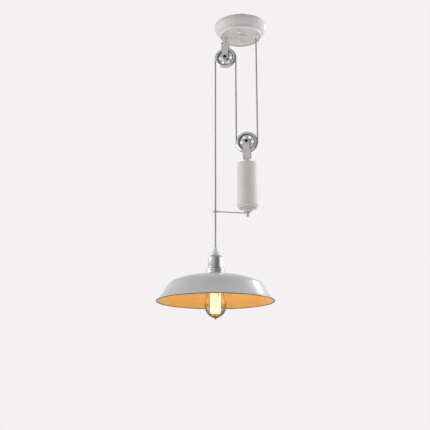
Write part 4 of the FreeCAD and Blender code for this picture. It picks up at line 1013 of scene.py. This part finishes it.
# bulb: pear-shaped amber glass with a drawn tip, and a cage of glowing filament
bulbValues = {
    "radius": 32.0, "belly": 35.5, "shoulder": 66.0, "shoulderRadius": 27.5, "neck": 92.0,
    "neckRadius": 18.5, "throat": 118.8, "throatRadius": 12.4, "tip": 5.0, "tipRadius": 2.2, "wall": 0.9,
    "strands": 9, "cageFoot": 19.0, "cageHeight": 66.0, "cageRadius": 15.5, "cageTop": 13.5, "wire": 0.6,
    "bend": 0.0022,
}


def smoothRun(points, steps):
    # a Catmull-Rom line through the points
    line = []
    whole = [points[0]] + list(points) + [points[-1]]
    for a, b, c, d in zip(whole, whole[1:], whole[2:], whole[3:]):
        for n in range(steps):
            t = n / steps
            line.append(tuple(0.5 * (2 * b[k] + (c[k] - a[k]) * t + (2 * a[k] - 5 * b[k] + 4 * c[k] - d[k]) * t * t
                                     + (3 * b[k] - a[k] - 3 * c[k] + d[k]) * t ** 3) for k in (0, 1)))
    return line + [tuple(points[-1])]


def filamentTree():
    # one wire that runs up and down round the cage, foot to head and back
    tree, into = geometryTree("filamentCage", {
        "Strands": "Int", "Foot Radius": "Float", "Head Radius": "Float", "Height": "Float", "Wire": "Float",
        "Foot": "Vector"})
    loop = nodeOut(tree, "GeometryNodeMeshCircle", {"Vertices": times(tree, into["Strands"], 2.0)})
    index = nodeOut(tree, "GeometryNodeInputIndex")
    strand, pair = (mathNode(tree, "FLOOR", mathNode(tree, "DIVIDE", number, 2.0))
                    for number in (index, plus(tree, index, 1.0)))
    head = mathNode(tree, "MODULO", pair, 2.0)
    angle = times(tree, mathNode(tree, "DIVIDE", strand, into["Strands"]), 2 * math.pi)
    reach = nodeOut(tree, "ShaderNodeMix", {0: head, 2: into["Foot Radius"], 3: into["Head Radius"]})
    x, y = (times(tree, mathNode(tree, kind, angle), reach) for kind in ("COSINE", "SINE"))
    spot = nodeOut(tree, "ShaderNodeCombineXYZ", {"X": x, "Y": y, "Z": times(tree, head, into["Height"])})
    placed = vectorMath(tree, "ADD", spot, into["Foot"])[0]
    bent = nodeOut(tree, "GeometryNodeSetPosition", {"Geometry": loop, "Position": placed})
    line = nodeOut(tree, "GeometryNodeMeshToCurve", {"Mesh": bent})
    rounded = addNode(tree, "GeometryNodeFilletCurve", {"Curve": line, "Radius": bulbValues["bend"]})
    rounded.mode = "POLY"
    rounded.inputs["Count"].default_value = 4
    ring = nodeOut(tree, "GeometryNodeCurvePrimitiveCircle", {"Resolution": 8, "Radius": into["Wire"]})
    wire = nodeOut(tree, "GeometryNodeCurveToMesh", {"Curve": rounded.outputs[0], "Profile Curve": ring})
    return endTree(tree, wire, into["Finish"])


def makeBulb():
    v = bulbValues
    foot, wall = v["tip"], v["wall"]
    ball = [
        (6.0, foot + 0.2), (14.0, foot + 3.6), (22.5, foot + 10.0), (29.0, foot + 19.5), (v["radius"], v["belly"]),
        (31.2, 50.0), (v["shoulderRadius"], v["shoulder"]), (22.6, 80.0), (v["neckRadius"], v["neck"]),
        (14.6, 106.0), (v["throatRadius"], v["throat"])]   # tip to throat
    nib = [(0.0, 0.0), (1.3, 0.35), (v["tipRadius"], 1.8), (3.4, 3.8)]
    outer = smoothRun(nib + ball, 6)
    inner = [(max(x - wall, 0.0), z + wall * 0.6) for x, z in outer if z > foot + 1.0]
    inner = [(0.0, foot + 1.2)] + inner[1:]
    outline = outer + [(inner[-1][0], outer[-1][1] + 0.2)] + inner[::-1]
    glass = turnedShape(outline, Vector((lampX, 0, bulbFoot)), closed=False)
    finishPiece("bulbGlass", glass, "lamp", "bulb_glass", angle=60)
    cage = throughTree("filamentCage", bpy.data.meshes.new("cageSeed"), filamentTree(), {
        "Strands": v["strands"], "Foot Radius": v["cageRadius"] * mm, "Head Radius": v["cageTop"] * mm,
        "Height": v["cageHeight"] * mm, "Wire": v["wire"] * mm, "Finish": finishes["filament_metal"],
        "Foot": Vector((lampX, 0, bulbFoot + v["cageFoot"] * mm))})
    finishPiece("filamentCage", cage, "lamp", "filament", angle=60)
    print("bulb blown")


makeBulb()


# floor, backdrop and light
studioValues = {
    "background": (0.905, 0.880, 0.888),
    "floorDrop": 0.55,         # metres below the bulb
    "floorRadius": 2.6, "floorLight": (0.67, 0.66, 0.66), "floorDark": (0.62, 0.61, 0.61),
    "dark": ((0.75, -0.65, 0.05), (0.25, 0.85)),    # towards it, and the cosines where it begins and is full
    "dim": ((0.36, -0.93, 0.0), (-0.1, 1.0)),
    "roomLight": (0.90, 0.89, 0.90), "roomDark": (0.22, 0.22, 0.225),
    "tentLight": (0.98, 0.97, 0.98), "tentDark": (0.46, 0.455, 0.445),
    "below": 0.80, "belowRise": (-0.7, 0.5), "above": 0.45, "aboveRise": (0.2, 0.8),
    "lamps": {                 # place, power, size
        "rightLight": ((1.95, 0.85, -0.1), 25.0, 2.8),
        "backLight": ((1.05, 1.46, 0.39), 4.0, 0.6),
        "lowLight": ((-2.1, -0.3, -0.9), 19.0, 1.8),
    },
    "bulbPower": 0.80, "bulbSize": 0.015, "bulbColour": (1.0, 0.62, 0.28),
}


def makeFloor():
    v = studioValues
    shape = bmesh.new()
    bmesh.ops.create_circle(shape, cap_ends=True, segments=96, radius=v["floorRadius"])
    bmesh.ops.translate(shape, verts=shape.verts, vec=(0, 0.2, cadBox[0].z - v["floorDrop"]))
    floor = addObject("floor", meshFrom(shape, "floor"))
    material, tree, shader = newMaterial("floorPaint", Roughness=0.8)
    cloud = noise(tree, objectPlace(tree), 3.0)
    feed(tree, shader.inputs["Base Color"], mixColour(tree, cloud, v["floorDark"], v["floorLight"]))
    floor.data.materials.append(material)


def makeWorld():
    # a light tent that is dark on the camera's right, which the metal and the enamel mirror
    v = studioValues
    world = bpy.data.worlds.new("studio")
    bpy.context.scene.world = world
    world.use_nodes = True
    tree = world.node_tree
    tree.nodes.clear()
    rays = addNode(tree, "ShaderNodeLightPath").outputs
    seen = mathNode(tree, "MAXIMUM", rays["Is Camera Ray"], rays["Is Transmission Ray"])
    way = addNode(tree, "ShaderNodeTexCoord").outputs["Generated"]
    dark, dim = (ranged(tree, vectorMath(tree, "DOT_PRODUCT", way, Vector(side).normalized())["Value"], ends,
                        kind="SMOOTHSTEP") for side, ends in (v["dark"], v["dim"]))
    rise = split(tree, way)[2]
    above = ranged(tree, rise, v["aboveRise"], (1.0, v["above"]))
    below = ranged(tree, rise, v["belowRise"], (v["below"], 1.0))
    room = mixColour(tree, 1.0, mixColour(tree, dark, v["roomLight"], v["roomDark"]), above, "MULTIPLY")
    tent = mixColour(tree, 1.0, mixColour(tree, dim, v["tentLight"], v["tentDark"]), below, "MULTIPLY")
    backdrop, mirrored, soft = (nodeOut(tree, "ShaderNodeBackground", {"Color": colour})
                                for colour in (v["background"], room, tent))
    glossy = nodeOut(tree, "ShaderNodeMixShader", {0: rays["Is Glossy Ray"], 1: soft, 2: mirrored})
    last = nodeOut(tree, "ShaderNodeMixShader", {0: seen, 1: glossy, 2: backdrop})
    addNode(tree, "ShaderNodeOutputWorld", {"Surface": last})


def makeLamp(name, kind, place, power, size, aim=None):
    data = bpy.data.lights.new(name, kind)
    data.energy = power
    light = addObject(name, data)
    light.location = place
    if aim:
        data.shape = "DISK"
        data.size = size
        light.rotation_euler = (aim - Vector(place)).to_track_quat("-Z", "Y").to_euler()
    else:
        data.shadow_soft_size = size
    return light


def makeLights():
    v = studioValues
    for name, lamp in v["lamps"].items():
        makeLamp(name, "AREA", *lamp, aim=(cadBox[0] + cadBox[1]) / 2)
    light = makeLamp("bulbLight", "POINT", boxCentre("filament"), v["bulbPower"], v["bulbSize"])
    light.data.color = v["bulbColour"]
    light.parent = bpy.data.objects["filamentCage"]   # it goes up and down with the lamp
    light.visible_camera = False
    light.visible_transmission = False


makeFloor()
makeWorld()
makeLights()
bpy.context.scene.view_settings.view_transform = "Standard"
print("studio lit")
